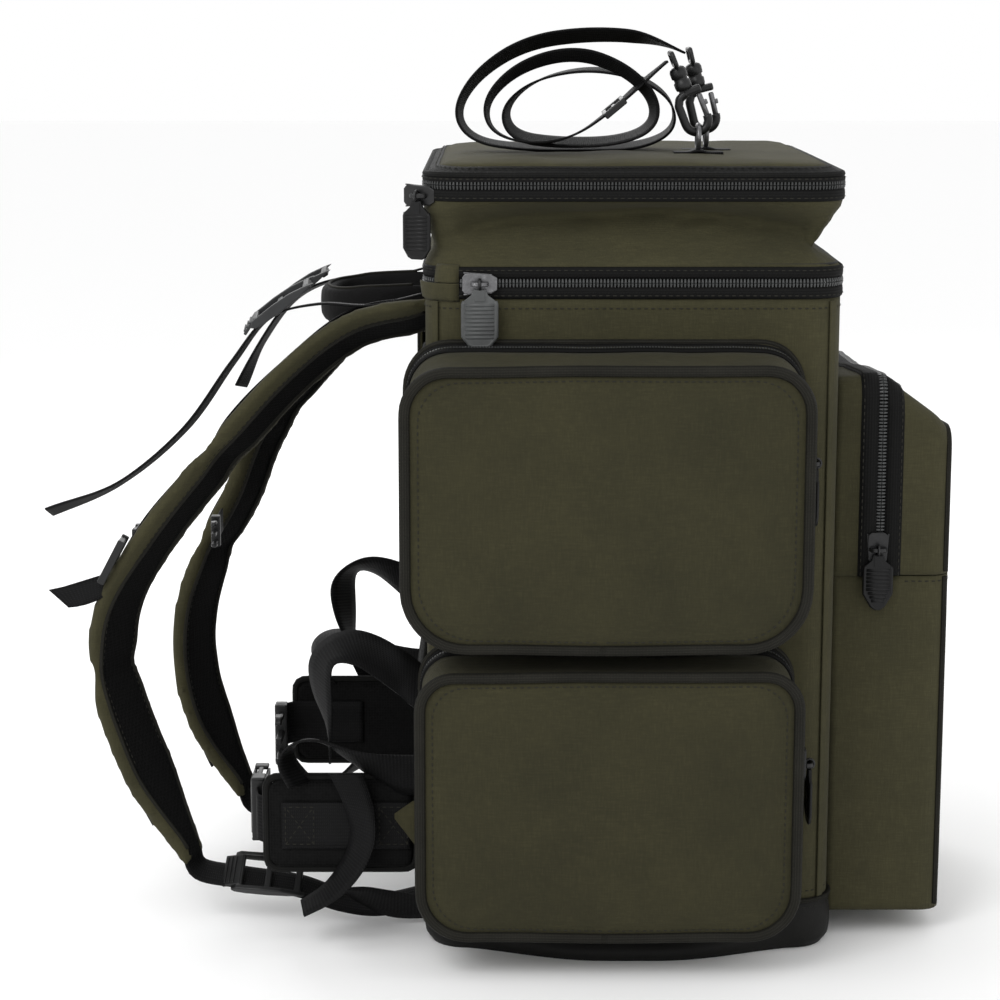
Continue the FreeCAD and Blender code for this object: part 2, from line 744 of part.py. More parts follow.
def make_buckle(name, length, height, thickness, place_female, place_male):
    """A side-release buckle in two halves, undone: a flat sleeve, and a plug with two springy arms."""
    body = doc.addObject("PartDesign::Body", name + "Sleeve")
    block = pad(body, outline(body, name + "SleeveEnd", "XZ_Plane", box_corners(
        f"-{thickness} / 2", f"-{height} / 2", f"{thickness} / 2", f"{height} / 2")), length, reverse=True)
    hollow(body, block, faces_facing(block.Shape, Y, -Y), "buckle_wall")
    body.Placement = place_female
    keep(body, name + "_female")
    body = doc.addObject("PartDesign::Body", name + "Plug")
    reach = f"{thickness} / 2 - buckle_wall - split_gap"
    base = outline(body, name + "PlugBase", "XZ_Plane", box_corners(
        f"-{thickness} / 2", f"-{height} / 2", f"{thickness} / 2", f"{height} / 2"))
    pad(body, base, f"{length} * 0.3", reverse=True)
    for number, (low, high) in enumerate(((-0.42, -0.26), (-0.07, 0.07), (0.26, 0.42))):
        arm = outline(body, f"{name}Arm{number}", "XZ_Plane", box_corners(
            f"-({reach})", f"{height} * ({low})", reach, f"{height} * {high}"))
        pad(body, arm, f"{length} * 0.95", reverse=True)
    body.Placement = place_male
    keep(body, name + "_male")


def make_hip_fin(hand, side):
    """One padded hip fin: narrower towards its tip, whose corners are rounded."""
    body = doc.addObject("PartDesign::Body", f"{hand}FinBody")
    rear, tip = "-body_depth / 2 - fin_clearance", "-body_depth / 2 - fin_length"
    shape = outline(body, f"{hand}FinFace", "XZ_Plane", [
        (tip, "fin_bottom + fin_taper"), (rear, "fin_bottom"), (rear, "fin_bottom + fin_height"),
        (tip, "fin_bottom + fin_height - fin_taper")], f"-({side} * fin_offset + fin_thickness / 2)")
    block = pad(body, shape, "fin_thickness")
    fillet(body, block, edges_along(block.Shape, Y, lambda middle: middle.x < size(rear) - 20), "lock_bar")
    keep(body, f"{hand}_hip_fin")


def make_belt_webbing(hand, side, tip_x, middle_y, middle_z):
    """The belt's webbing, sewn to the fin's inner face and bent round its tip towards the other side."""
    seam, bend, reach = size("belt_seam"), size("belt_bend"), size("belt_bend_reach")
    turn = size("fin_taper")
    steps = [(seam, 0), (turn, 0), (-turn, -turn), (-reach, -bend)]
    points = [Vector(tip_x + along, side * (middle_y + across), middle_z) for along, across in steps]
    section = rectangle(points[0], Y, Z, size("webbing_thickness"), size("belt_webbing"))
    solid = smooth_path(points).makePipeShell([section], True, False)
    keep(feature(f"{hand}_belt_webbing", solid), f"{hand}_belt_webbing")


def make_belt():
    """Padded hip fins, their webbing, and the belt buckle's halves hanging at their tips."""
    tip_x = size("-body_depth / 2 - fin_length")
    middle_y = size("fin_offset - fin_thickness / 2 - webbing_thickness / 2")
    middle_z = size("fin_bottom + fin_height / 2")
    for hand, side in (("left", -1), ("right", 1)):
        make_hip_fin(hand, side)
        make_belt_webbing(hand, side, tip_x, middle_y, middle_z)
    buckle_x, buckle_y = tip_x - size("belt_bend_reach"), middle_y - size("belt_bend")
    make_buckle("belt_buckle", "buckle_length", "buckle_height", "buckle_thickness",
                Placement(Vector(buckle_x, -buckle_y, middle_z), Rotation()),
                Placement(Vector(buckle_x, buckle_y, middle_z), Rotation(Z, 180)))


LEFT_STERNUM_X, RIGHT_STERNUM_X = -396, -338


def make_sternum():
    """Sternum strap halves on the shoulder pads' inner edges, with a small buckle, undone."""
    width, thickness = size("narrow_webbing"), size("webbing_thickness")
    outer, inner, height = size("sternum_outer"), size("sternum_inner"), size("sternum_height")
    ends = []
    for name, along, low in (("Left", LEFT_STERNUM_X, -outer), ("Right", RIGHT_STERNUM_X, inner)):
        strip = Part.makeBox(thickness, outer - inner, width, Vector(along, low, height - width / 2))
        ends.append(feature("SternumStrap" + name, strip))
    group("sternum_straps", ends)
    half = thickness / 2
    make_buckle("sternum_buckle", "buckle_length * 0.6", "narrow_webbing * 1.3", "buckle_thickness * 0.7",
                Placement(Vector(LEFT_STERNUM_X + half, -inner, height), Rotation()),
                Placement(Vector(RIGHT_STERNUM_X + half, inner, height), Rotation(Z, 180)))


# ---------------------------------------------------------------- carry strap

CARRY_ROUTE = [
    (45, -22, 686), (20, -23, 698), (-30, -25, 701), (-80, -26, 694), (-118, -28, 670), (-136, -29, 640),
    (-122, -30, 618), (-80, -30, 612), (-32, -30, 612.5), (10, -31, 613), (38, -32, 626), (36, -33, 650),
    (10, -35, 668), (-32, -38, 675), (-75, -41, 665), (-98, -44, 643), (-90, -48, 622), (-55, -53, 617),
    (-8, -59, 618.5), (19, -64, 630), (20, -66, 652), (-4, -67, 675), (-42, -68, 688), (-85, -69, 677),
    (-112, -70, 651), (-108, -70, 626), (-76, -69, 616), (-42, -67, 622), (-12, -65, 644), (12, -63, 666),
    (29, -62, 680),
]
# each hook's ring X and Y, and how far the hook leans to the back
HOOKS = {"near": (54, -62, -22), "far": (63, -22, -14)}
RING_HEIGHT = ("top_zip_height + top_tape_height + lid_rise + webbing_thickness"
               " + ring_radius + ring_wire + split_gap")


def make_hook_solid(name):
    """A snap hook's fixed part, standing on the middle of its bend."""
    bend = lift(doc.addObject("Part::Torus", name + "Bend"), Radius1="hook_radius", Radius2="hook_wire")
    bend.Angle3 = 180
    bend.Placement = Placement(Vector(), Rotation(X, -90))
    spine = lift(doc.addObject("Part::Cylinder", name + "Spine"), Radius="hook_wire", Height="hook_spine",
                 Placement__Base__x="-hook_radius")
    yoke = lift(doc.addObject("Part::Box", name + "Yoke"), Length="2 * (hook_radius + hook_wire)",
                Width="2 * hook_wire", Height="2 * hook_wire", Placement__Base__x="-hook_radius - hook_wire",
                Placement__Base__y="-hook_wire", Placement__Base__z="hook_spine")
    barrel = lift(doc.addObject("Part::Cylinder", name + "Barrel"), Radius="barrel_radius",
                  Height="barrel_length", Placement__Base__z="hook_spine + 2 * hook_wire")
    bottom = "hook_spine + 2 * hook_wire + barrel_length"
    eye = lift(doc.addObject("Part::Box", name + "Eye"), Length="eye_thickness", Height="eye_height",
               Width="carry_webbing + 2 * eye_border", Placement__Base__x="-eye_thickness / 2",
               Placement__Base__y="-carry_webbing / 2 - eye_border", Placement__Base__z=bottom)
    slot = lift(doc.addObject("Part::Box", name + "Slot"), Length="5 * eye_thickness", Height="eye_slot",
                Width="carry_webbing + root_depth", Placement__Base__x="-5 * eye_thickness / 2",
                Placement__Base__y="-(carry_webbing + root_depth) / 2",
                Placement__Base__z=bottom + " + (eye_height - eye_slot) / 2")
    solid = doc.addObject("Part::MultiFuse", name + "Solid")
    solid.Shapes = [bend, spine, yoke, barrel, eye]
    cut = doc.addObject("Part::Cut", name + "Hook")
    cut.Base, cut.Tool = solid, slot
    return cut


def make_hook(name, ring_x, ring_y, lean):
    """A swivel snap hook clipped into its ring, and the gate that closes its mouth."""
    ring_top = Vector(ring_x, ring_y, size(RING_HEIGHT) + size("ring_radius"))
    turn = Rotation(Y, lean)
    seat = Vector(0, 0, size("hook_radius - hook_wire - ring_wire - split_gap"))
    place = Placement(ring_top + turn.multVec(seat), turn)
    hook = make_hook_solid(name)
    hook.Placement = place
    gate = lift(doc.addObject("Part::Cylinder", name + "Gate"), Radius="gate_wire",
                Height="hook_spine - 2 * split_gap - gate_clearance")
    gate.Placement = place.multiply(Placement(Vector(size("hook_radius"), 0, size("split_gap")), Rotation()))
    keep(hook, f"{name}_snap_hook")
    keep(gate, f"{name}_hook_gate")


def make_rings():
    """The two rings that the carry strap clips to, standing on their sewn tabs."""
    rings, tabs = [], []
    for name, (along, across, _) in HOOKS.items():
        circle = lift(doc.addObject("Part::Torus", name + "Ring"), Radius1="ring_radius", Radius2="ring_wire")
        circle.Placement = Placement(Vector(along, across, size(RING_HEIGHT)), Rotation(Y, 90))
        rings.append(circle)
        tab = lift(doc.addObject("Part::Box", name + "Tab"), Length="2 * (ring_radius + tab_border)",
                   Width="narrow_webbing", Height="webbing_thickness",
                   Placement__Base__x=f"{along} - ring_radius - tab_border",
                   Placement__Base__y=f"{across} - narrow_webbing / 2",
                   Placement__Base__z="top_zip_height + top_tape_height + lid_rise")
        tabs.append(tab)
    group("carry_rings", rings)
    group("ring_tabs", tabs)


def make_carry_strap():
    """The detachable carry strap, coiled loosely on the lid, and its two hooks."""
    points = [Vector(*point) for point in CARRY_ROUTE]
    strip = swept(points, size("carry_webbing"), size("carry_thickness"))
    keep(feature("carry_strap", strip), "carry_strap")
    for name, place in HOOKS.items():
        make_hook(name, *place)


make_base()
make_walls()
make_zip_band("main_zip_body_tape", "main_zip_height", -1)
make_zip_band("main_zip_lid_tape", "main_zip_height", 1)
make_lid()
make_zip_band("top_zip_lower_tape", "top_zip_height", -1)
make_zip_band("top_zip_upper_tape", "top_zip_height", 1, "top_tape_height")
make_top_lid()
make_side_pockets()
make_front_pocket()
make_pocket_chains()
make_zips()
make_back()
make_handle()
make_shoulder_pads()
make_harness_webbing()
make_ladder_locks()
make_belt()
make_sternum()
make_rings()
make_carry_strap()

doc.recompute()
os.makedirs("parts", exist_ok=True)
for item in doc.Objects:
    if {"Invalid", "Error"} & set(item.State):
        raise RuntimeError(f"{item.Label} did not compute")
for node in nodes:
    if node.Shape.isNull() or not node.Shape.isValid():
        raise RuntimeError(f"{node.Label} has no valid shape")
for node in nodes:
    node.Shape.exportStep(f"parts/{node.Label}.step")
    print(f"{node.Label:28s} {len(node.Shape.Solids)} solids {node.Shape.Volume / 1000:9.1f} cm3")
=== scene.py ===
"""Looks for the tackle backpack: cloth, webbing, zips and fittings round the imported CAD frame.

Metres, in the frame's own axes: +X is the bag's front, -Y the wearer's left, +Z up.
"""
import bmesh
import bpy
import json
import math
from mathutils import Matrix, Vector, noise


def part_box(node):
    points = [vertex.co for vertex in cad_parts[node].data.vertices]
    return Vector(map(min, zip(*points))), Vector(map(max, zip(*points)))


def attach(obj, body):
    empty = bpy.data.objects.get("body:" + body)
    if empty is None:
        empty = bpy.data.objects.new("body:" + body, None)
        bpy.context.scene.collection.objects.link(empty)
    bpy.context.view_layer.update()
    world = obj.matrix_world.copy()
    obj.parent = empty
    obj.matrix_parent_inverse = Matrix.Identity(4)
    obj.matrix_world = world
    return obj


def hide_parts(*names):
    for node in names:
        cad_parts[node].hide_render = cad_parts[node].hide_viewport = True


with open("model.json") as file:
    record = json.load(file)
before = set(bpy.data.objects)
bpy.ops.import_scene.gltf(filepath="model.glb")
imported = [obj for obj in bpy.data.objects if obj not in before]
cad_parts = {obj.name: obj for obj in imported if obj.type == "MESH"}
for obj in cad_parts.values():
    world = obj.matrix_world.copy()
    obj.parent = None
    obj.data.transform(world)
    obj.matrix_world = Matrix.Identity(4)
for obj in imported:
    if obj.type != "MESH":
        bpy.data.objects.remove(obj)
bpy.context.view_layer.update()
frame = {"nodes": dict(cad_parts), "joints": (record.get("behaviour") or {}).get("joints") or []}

MM = 0.001
UP = Vector((0, 0, 1))
LEFT, RIGHT = -1, 1


def mm(*values):
    """A point given in millimetres."""
    return Vector([value * MM for value in values])


# ---------------------------------------------------------------- places read from the frame

BASE_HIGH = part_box("base_panel")[1]
HALF_DEPTH, HALF_WIDTH = BASE_HIGH.x, BASE_HIGH.y
CORNER = 30 * MM
ARC_SAG = 0.293  # how far a quarter arc's middle lies inside its corner, as a share of its radius
BASE_TOP = BASE_HIGH.z
MAIN_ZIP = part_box("main_zip_body_tape")[1].z + 0.2 * MM
TOP_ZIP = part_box("top_zip_lower_tape")[1].z + 0.2 * MM
LID_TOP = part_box("top_lid")[1].z
RING_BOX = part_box("carry_rings")
RING_MIDDLE = (RING_BOX[0].z + RING_BOX[1].z) / 2
JOINTS = {joint["name"]: joint for joint in frame["joints"]}


# ---------------------------------------------------------------- camera, light and floor

def make_camera():
    """A long lens at the height of the lid, looking along +Y and a little down."""
    camera = bpy.data.cameras.new("camera")
    camera.lens = 93.6
    camera.sensor_width = 36
    camera.clip_end = 50
    holder = bpy.data.objects.new("camera", camera)
    bpy.context.scene.collection.objects.link(holder)
    holder.location = (-0.100, -2.100, 0.720)
    holder.rotation_euler = (math.radians(90 - 10.7), 0, 0)
    bpy.context.scene.camera = holder


def area_light(name, place, aim, side, power):
    """A square soft light that faces a point."""
    light = bpy.data.lights.new(name, "AREA")
    light.shape = "SQUARE"
    light.size = side
    light.energy = power
    holder = bpy.data.objects.new(name, light)
    bpy.context.scene.collection.objects.link(holder)
    holder.location = place
    holder.rotation_euler = (Vector(aim) - Vector(place)).to_track_quat("-Z", "Y").to_euler()


def make_studio():
    """White surroundings, three soft lights and a pale floor."""
    bpy.context.scene.view_settings.view_transform = "Standard"
    world = bpy.data.worlds.new("studio")
    bpy.context.scene.world = world
    world.use_nodes = True
    background = world.node_tree.nodes["Background"]
    background.inputs["Color"].default_value = (1, 1, 1, 1)
    background.inputs["Strength"].default_value = 1.0
    middle = (0, 0, 0.3)
    area_light("key", (-1.3, -2.2, 2.3), middle, 1.4, 34)
    area_light("fill", (1.9, -1.7, 1.1), middle, 1.6, 5)
    area_light("rear", (-0.6, 2.2, 1.8), middle, 1.6, 22)
    bpy.ops.mesh.primitive_plane_add(size=30)
    floor = bpy.context.object
    floor.name = "floor"
    paint = bpy.data.materials.new("floor_paint")
    paint.use_nodes = True
    shader = paint.node_tree.nodes["Principled BSDF"]
    shader.inputs["Base Color"].default_value = (0.97, 0.97, 0.97, 1)
    shader.inputs["Roughness"].default_value = 0.9
    floor.data.materials.append(paint)


# ---------------------------------------------------------------- materials

class Nodes:
    """Builds a material's nodes with short calls."""

    def __init__(self, name, roughness, **fixed):
        self.material = bpy.data.materials.new(name)
        self.material.use_nodes = True
        self.tree = self.material.node_tree
        self.shader = self.tree.nodes["Principled BSDF"]
        self.shader.inputs["Roughness"].default_value = roughness
        for key, value in fixed.items():
            self.shader.inputs[key.replace("_", " ")].default_value = value

    def add(self, kind, inputs=(), **settings):
        """A node with its settings, and with values or links on its inputs."""
        node = self.tree.nodes.new(kind)
        for key, value in settings.items():
            setattr(node, key, value)
        for key, value in dict(inputs).items():
            if isinstance(value, bpy.types.NodeSocket):
                self.tree.links.new(value, node.inputs[key])
            else:
                node.inputs[key].default_value = value
        return node

    def link(self, socket, name):
        """Feed one of the shader's inputs."""
        self.tree.links.new(socket, self.shader.inputs[name])

    def maths(self, operation, first, second):
        """A Math node's result."""
        return self.add("ShaderNodeMath", {0: first, 1: second}, operation=operation).outputs[0]

    def place(self, uv, scale=(1, 1, 1)):
        """Object or UV coordinates, scaled."""
        source = self.add("ShaderNodeTexCoord").outputs["UV" if uv else "Object"]
        return self.add("ShaderNodeMapping", {"Vector": source, "Scale": scale}).outputs["Vector"]

    def noise(self, where, scale, detail=3.0, rough=0.5):
        """A noise value from 0 to 1."""
        return self.add("ShaderNodeTexNoise", {"Vector": where, "Scale": scale, "Detail": detail,
                                               "Roughness": rough}).outputs["Fac"]

    def wave(self, where, axis, scale, distortion=0.0):
        """Parallel ridges across one axis."""
        return self.add("ShaderNodeTexWave", {"Vector": where, "Scale": scale, "Distortion": distortion,
                                              "Detail": 1.0}, bands_direction=axis).outputs["Fac"]

    def ramp(self, value, stops):
        """A colour ramp over (position, colour) stops."""
        node = self.add("ShaderNodeValToRGB", {"Fac": value})
        ramp = node.color_ramp
        while len(ramp.elements) < len(stops):
            ramp.elements.new(0.5)
        for element, (position, colour) in zip(ramp.elements, stops):
            element.position = position
            element.color = (*colour, 1)
        return node.outputs["Color"]

    def grey(self, value, low, high):
        """A value spread between two others."""
        return self.add("ShaderNodeMapRange", {"Value": value, "To Min": low,
                                               "To Max": high}).outputs["Result"]

    def mix(self, share, first, second, kind="MIX"):
        """Two colours mixed."""
        node = self.add("ShaderNodeMix", data_type="RGBA", blend_type=kind)
        for number, value in ((0, share), (6, first), (7, second)):
            if isinstance(value, bpy.types.NodeSocket):
                self.tree.links.new(value, node.inputs[number])
            else:
                node.inputs[number].default_value = value
        return node.outputs[2]

    def bump(self, height, distance, strength, before=None):
        """A bump, optionally on top of another."""
        inputs = {"Height": height, "Distance": distance, "Strength": strength}
        if before is not None:
            inputs["Normal"] = before
        return self.add("ShaderNodeBump", inputs).outputs["Normal"]


def shade(colour, factor):
    """A colour made lighter or darker."""
    return tuple(min(1.0, channel * factor) for channel in colour)


# The first olive is the canvas colour made lighter, painted light for walls that sit in shade. The second is
# the same olive made darker for the side pockets' faces, painted shade. They are lit and shaded copies of one
# cloth.
OLIVE = (0.0405, 0.0380, 0.0195)
SHADED_FACE_OLIVE = (0.0290, 0.0272, 0.0135)
BLACK = (0.0050, 0.0050, 0.0052)


def woven(name, colour, thread=0.8 * MM, slub=0.26, depth=0.2 * MM, rough=0.86, sheen=0.03):
    """Plain woven cloth: a thread grid with slubs, blotches of wear, and a soft sheen."""
    build = Nodes(name, rough, Sheen_Weight=sheen, Sheen_Roughness=0.5, Specular_IOR_Level=0.14)
    place = build.place(False)
    turns = math.pi / (10 * thread)
    grid = build.maths("ADD", build.wave(place, "X", turns, 1.5), build.wave(place, "Y", turns, 1.5))
    grid = build.maths("ADD", grid, build.wave(place, "Z", turns, 1.5))
    along = build.noise(build.place(False, (0.12, 0.12, 1)), 900, 2.0)
    down = build.noise(build.place(False, (1, 1, 0.12)), 900, 2.0)
    threads = build.maths("MULTIPLY", build.maths("ADD", along, down), 0.5)
    blotch = build.noise(place, 14, 4.0, 0.6)
    cloth = build.ramp(threads, [(0.36, shade(colour, 1 - 0.45 * slub)), (0.52, colour),
                                 (0.66, shade(colour, 1 + 0.75 * slub))])
    worn = build.ramp(blotch, [(0.3, (0.86, 0.86, 0.86)), (0.7, (1.14, 1.12, 1.08))])
    build.link(build.mix(1.0, cloth, worn, "MULTIPLY"), "Base Color")
    build.link(build.grey(threads, rough - 0.08, min(1.0, rough + 0.06)), "Roughness")
    creases = build.noise(place, 45, 5.0, 0.62)
    first = build.bump(creases, 1.6 * MM, 0.35)
    second = build.bump(threads, depth * 1.6, 0.5, first)
    build.link(build.bump(grid, depth, 0.35, second), "Normal")
    return build.material


def webbing(name, colour, rib=1.6 * MM, rough=0.62):
    """Ribbed webbing: UV's first axis runs along it and the second across it, in metres."""
    build = Nodes(name, rough, Specular_IOR_Level=0.1)
    place = build.place(True)
    ribs = build.wave(place, "X", math.pi / (10 * rib), 0.6)
    lines = build.wave(place, "Y", math.pi / (10 * rib * 1.7), 0.4)
    fuzz = build.noise(place, 700, 2.0)
    weave = build.maths("ADD", build.maths("MULTIPLY", ribs, lines), build.maths("MULTIPLY", fuzz, 0.5))
    blotch = build.noise(place, 22, 3.0)
    build.link(build.ramp(build.maths("ADD", build.maths("MULTIPLY", weave, 0.5),
                                      build.maths("MULTIPLY", blotch, 0.5)), [
        (0.25, shade(colour, 0.55)), (0.5, colour), (0.85, shade(colour, 2.0))]), "Base Color")
    build.link(build.bump(weave, 0.5 * MM, 0.6), "Normal")
    return build.material


def air_mesh(name, colour):
    """Knitted spacer mesh: small round holes in rows."""
    build = Nodes(name, 0.9, Specular_IOR_Level=0.08)
    place = build.place(False)
    cells = build.add("ShaderNodeTexVoronoi", {"Vector": place, "Scale": 420.0,
                                               "Randomness": 0.25}).outputs["Distance"]
    soft = build.noise(place, 35, 4.0)
    # The hole centres are painted darker, as painted shade down in the holes.
    build.link(build.ramp(cells, [(0.1, shade(colour, 0.35)), (0.45, colour), (0.8, shade(colour, 1.7))]),
               "Base Color")
    first = build.bump(soft, 2 * MM, 0.35)
    build.link(build.bump(cells, 0.6 * MM, 0.7, first), "Normal")
    return build.material


def moulded(name, colour, rough=0.42, spark=0.4):
    """Moulded plastic with a fine grain and rubbed patches."""
    build = Nodes(name, rough, Specular_IOR_Level=spark)
    place = build.place(False)
    grain = build.noise(place, 1400, 2.0)
    rubbed = build.noise(place, 90, 4.0, 0.6)
    build.link(build.ramp(rubbed, [(0.3, shade(colour, 0.8)), (0.6, colour), (0.8, shade(colour, 1.5))]),
               "Base Color")
    build.link(build.grey(rubbed, rough - 0.1, rough + 0.14), "Roughness")
    build.link(build.bump(grain, 0.12 * MM, 0.35), "Normal")
    return build.material


def painted(name, colour, rough=0.35, metal=0.75):
    """Painted or plated metal, worn brighter in patches."""
    build = Nodes(name, rough, Metallic=metal, Specular_IOR_Level=0.5)
    place = build.place(False)
    worn = build.noise(place, 240, 5.0, 0.7)
    build.link(build.ramp(worn, [(0.35, shade(colour, 0.7)), (0.58, colour), (0.74, shade(colour, 2.2))]),
               "Base Color")
    build.link(build.grey(worn, rough + 0.12, rough - 0.1), "Roughness")
    build.link(build.bump(worn, 0.15 * MM, 0.4), "Normal")
    return build.material


def zip_tape(name, colour):
    """Knitted zip tape: fine ribs along it."""
    build = Nodes(name, 0.7, Specular_IOR_Level=0.1)
    place = build.place(True)
    ribs = build.wave(place, "X", math.pi / (10 * 1.1 * MM), 0.8)
    rows = build.wave(place, "Y", math.pi / (10 * 2.2 * MM), 0.3)
    knit = build.maths("MULTIPLY", ribs, rows)
    build.link(build.ramp(knit, [(0.1, shade(colour, 0.6)), (0.9, shade(colour, 1.5))]), "Base Color")
    build.link(build.bump(knit, 0.35 * MM, 0.5), "Normal")
    return build.material


MATERIALS = {
    "olive": woven("olive_canvas_painted_light", OLIVE),
    "face": woven("olive_face_canvas_painted_shade", SHADED_FACE_OLIVE),
    "coated": woven("black_coated_cloth", (0.0085, 0.0085, 0.0080), 0.8 * MM, 0.25, 0.15 * MM, 0.62, 0.0),
    "black": woven("black_cloth", BLACK, 0.8 * MM, 0.3, 0.2 * MM, 0.85, 0.0),
    "lining": woven("grey_lining", (0.022, 0.022, 0.021), 0.7 * MM, 0.3, 0.15 * MM, 0.7),
    "binding": webbing("binding_tape", (0.0125, 0.012, 0.0095), 1.1 * MM, 0.7),
    "webbing": webbing("black_webbing", (0.0052, 0.0052, 0.0054)),
    "mesh": air_mesh("black_air_mesh", (0.0045, 0.0045, 0.0045)),
    "tape": zip_tape("zip_tape", (0.0062, 0.0062, 0.0060)),
    "rim": webbing("rim_binding", (0.0062, 0.0062, 0.0058), 1.1 * MM, 0.7),
    "teeth": moulded("moulded_teeth", (0.040, 0.042, 0.042), 0.36, 0.45),
    "dark_teeth": moulded("dark_moulded_teeth", (0.025, 0.026, 0.026), 0.42, 0.35),
    "slider": painted("slider_metal", (0.16, 0.16, 0.165)),
    "dark_slider": painted("dark_slider_metal", (0.012, 0.012, 0.0125), 0.38, 0.3),
    "puller": moulded("grey_puller", (0.062, 0.065, 0.065), 0.45, 0.4),
    "dark_puller": moulded("black_puller", (0.0050, 0.0050, 0.0052), 0.38, 0.22),
    "buckle": moulded("buckle_plastic", (0.0085, 0.0088, 0.0090), 0.36, 0.32),
    "grey_lock": moulded("grey_lock_plastic", (0.024, 0.025, 0.026), 0.50, 0.30),
    "board": moulded("board_plastic", (0.03, 0.03, 0.03), 0.6, 0.3),
    "thread": webbing("stitch_thread", (0.03, 0.029, 0.024), 0.8 * MM, 0.8),
}


# ---------------------------------------------------------------- mesh tools

def mesh_piece(name, points, faces, material, body, uvs=None, smooth=True):
    """A mesh that rides on a body. uvs maps each point to metres along and across the cloth."""
    data = bpy.data.meshes.new(name)
    data.from_pydata([tuple(point) for point in points], [], faces)
    if uvs:
        layer = data.uv_layers.new(name="UVMap")
        for loop in data.loops:
            layer.data[loop.index].uv = uvs[loop.vertex_index]
    for polygon in data.polygons:
        polygon.use_smooth = smooth
    data.materials.append(MATERIALS[material])
    piece = bpy.data.objects.new(name, data)
    bpy.context.scene.collection.objects.link(piece)
    if body:
        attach(piece, body)
    return piece


def outward(piece):
    """Make a closed piece's faces look outwards."""
    work = bmesh.new()
    work.from_mesh(piece.data)
    bmesh.ops.recalc_face_normals(work, faces=work.faces)
    work.to_mesh(piece.data)
    work.free()
    return piece


def modifier(piece, kind, **settings):
    """Add a modifier and apply it, so that the mesh is final."""
    item = piece.modifiers.new(kind.lower(), kind)
    for key, value in settings.items():
        setattr(item, key, value)
    bpy.context.view_layer.update()
    graph = bpy.context.evaluated_depsgraph_get()
    final = bpy.data.meshes.new_from_object(piece.evaluated_get(graph))
    piece.modifiers.clear()
    piece.data = final
    return piece


def sheet_mesh(name, rows, material, body, closed=False, thickness=0.0, cap=None):
    """A surface through rows of points, with UVs in metres; thickness is added behind it.

    cap closes the first (0) or the last (-1) row with one face.
    """
    count = len(rows[0])
    points, uvs = [], []
    along = 0.0
    for number, row in enumerate(rows):
        if number:
            along += sum((a - b).length for a, b in zip(row, rows[number - 1])) / count
        across = 0.0
        for index, point in enumerate(row):
            if index:
                across += (point - row[index - 1]).length
            points.append(point)
            uvs.append((across, along))
    faces = []
    last = count if closed else count - 1
    for number in range(len(rows) - 1):
        for index in range(last):
            after = (index + 1) % count
            low, high = number * count, (number + 1) * count
            faces.append((low + index, low + after, high + after, high + index))
    if cap == 0:
        faces.append(tuple(reversed(range(count))))
    if cap == -1:
        faces.append(tuple(range((len(rows) - 1) * count, len(rows) * count)))
    piece = mesh_piece(name, points, faces, material, None, uvs)
    if thickness:
        modifier(piece, "SOLIDIFY", thickness=thickness, offset=-1.0)
        for polygon in piece.data.polygons:
            polygon.use_smooth = True
    if body:
        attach(piece, body)
    return piece


def curve_through(points, spacing, closed=False):
    """Points along a smooth curve through a few given ones, about evenly spaced."""
    ends = [points[-1], *points, points[0], points[1]] if closed else [
        points[0] * 2 - points[1], *points, points[-1] * 2 - points[-2]]
    fine = []
    for before, start, end, after in zip(ends, ends[1:], ends[2:], ends[3:]):
        steps = max(2, int((end - start).length / spacing * 1.5))
        for step in range(steps):
            share = step / steps
            fine.append(0.5 * (2 * start + (end - before) * share
                               + (2 * before - 5 * start + 4 * end - after) * share ** 2
                               + (3 * start - before - 3 * end + after) * share ** 3))
    if not closed:
        fine.append(points[-1].copy())
    return respaced(fine, spacing, closed)


def respaced(line, spacing, closed=False):
    """The same line with evenly spaced points."""
    if closed:
        line = line + [line[0]]
    lengths = [0.0]
    for start, end in zip(line, line[1:]):
        lengths.append(lengths[-1] + (end - start).length)
    count = max(2, round(lengths[-1] / spacing))
    result, index = [], 0
    for number in range(count if closed else count + 1):
        goal = lengths[-1] * number / count
        while index < len(line) - 2 and lengths[index + 1] < goal:
            index += 1
        span = lengths[index + 1] - lengths[index] or 1.0
        result.append(line[index].lerp(line[index + 1], (goal - lengths[index]) / span))
    return result


def directions(line, closed=False):
    """Unit tangents along a line."""
    count = len(line)
    result = []
    for index in range(count):
        before = line[index - 1] if closed or index else line[0]
        after = line[(index + 1) % count] if closed or index < count - 1 else line[-1]
        result.append((after - before).normalized())
    return result


def swept_piece(name, line, section, across, material, body, closed=False, cap=True):
    """A section, as (across, out) offsets, carried along a line. across(index) is the width's direction."""
    tangents = directions(line, closed)
    rows, points, uvs = len(line), [], []
    travelled = 0.0
    for index, place in enumerate(line):
        if index:
            travelled += (place - line[index - 1]).length
        side = across(index)
        side = (side - tangents[index] * side.dot(tangents[index])).normalized()
        out = tangents[index].cross(side)
        shape = section(index / (rows - 1)) if callable(section) else section
        for wide, thick in shape:
            points.append(place + side * wide + out * thick)
            uvs.append((travelled, wide))
    size = len(shape)
    faces = []
    for row in range(rows if closed else rows - 1):
        low, high = row * size, ((row + 1) % rows) * size
        for index in range(size):
            after = (index + 1) % size
            faces.append((low + index, high + index, high + after, low + after))
    if cap and not closed:
        faces.append(tuple(range(size)))
        faces.append(tuple(reversed(range((rows - 1) * size, rows * size))))
    return outward(mesh_piece(name, points, faces, material, body, uvs))


def flat_section(width, thickness):
    """A webbing's section: flat faces and rounded edges, with points enough to bend."""
    half, thin = width / 2, thickness / 2
    edge = min(thin, half * 0.4)
    across = [-half + edge, -half * 0.55, 0.0, half * 0.55, half - edge]
    top = [(value, thin) for value in across]
    bottom = [(value, -thin) for value in reversed(across)]
    return [(-half, 0.0), *top, (half, 0.0), *bottom]


def round_section(radius, sides=8):
    """A round cord's section."""
    return [(radius * math.cos(math.tau * k / sides), radius * math.sin(math.tau * k / sides))
            for k in range(sides)]


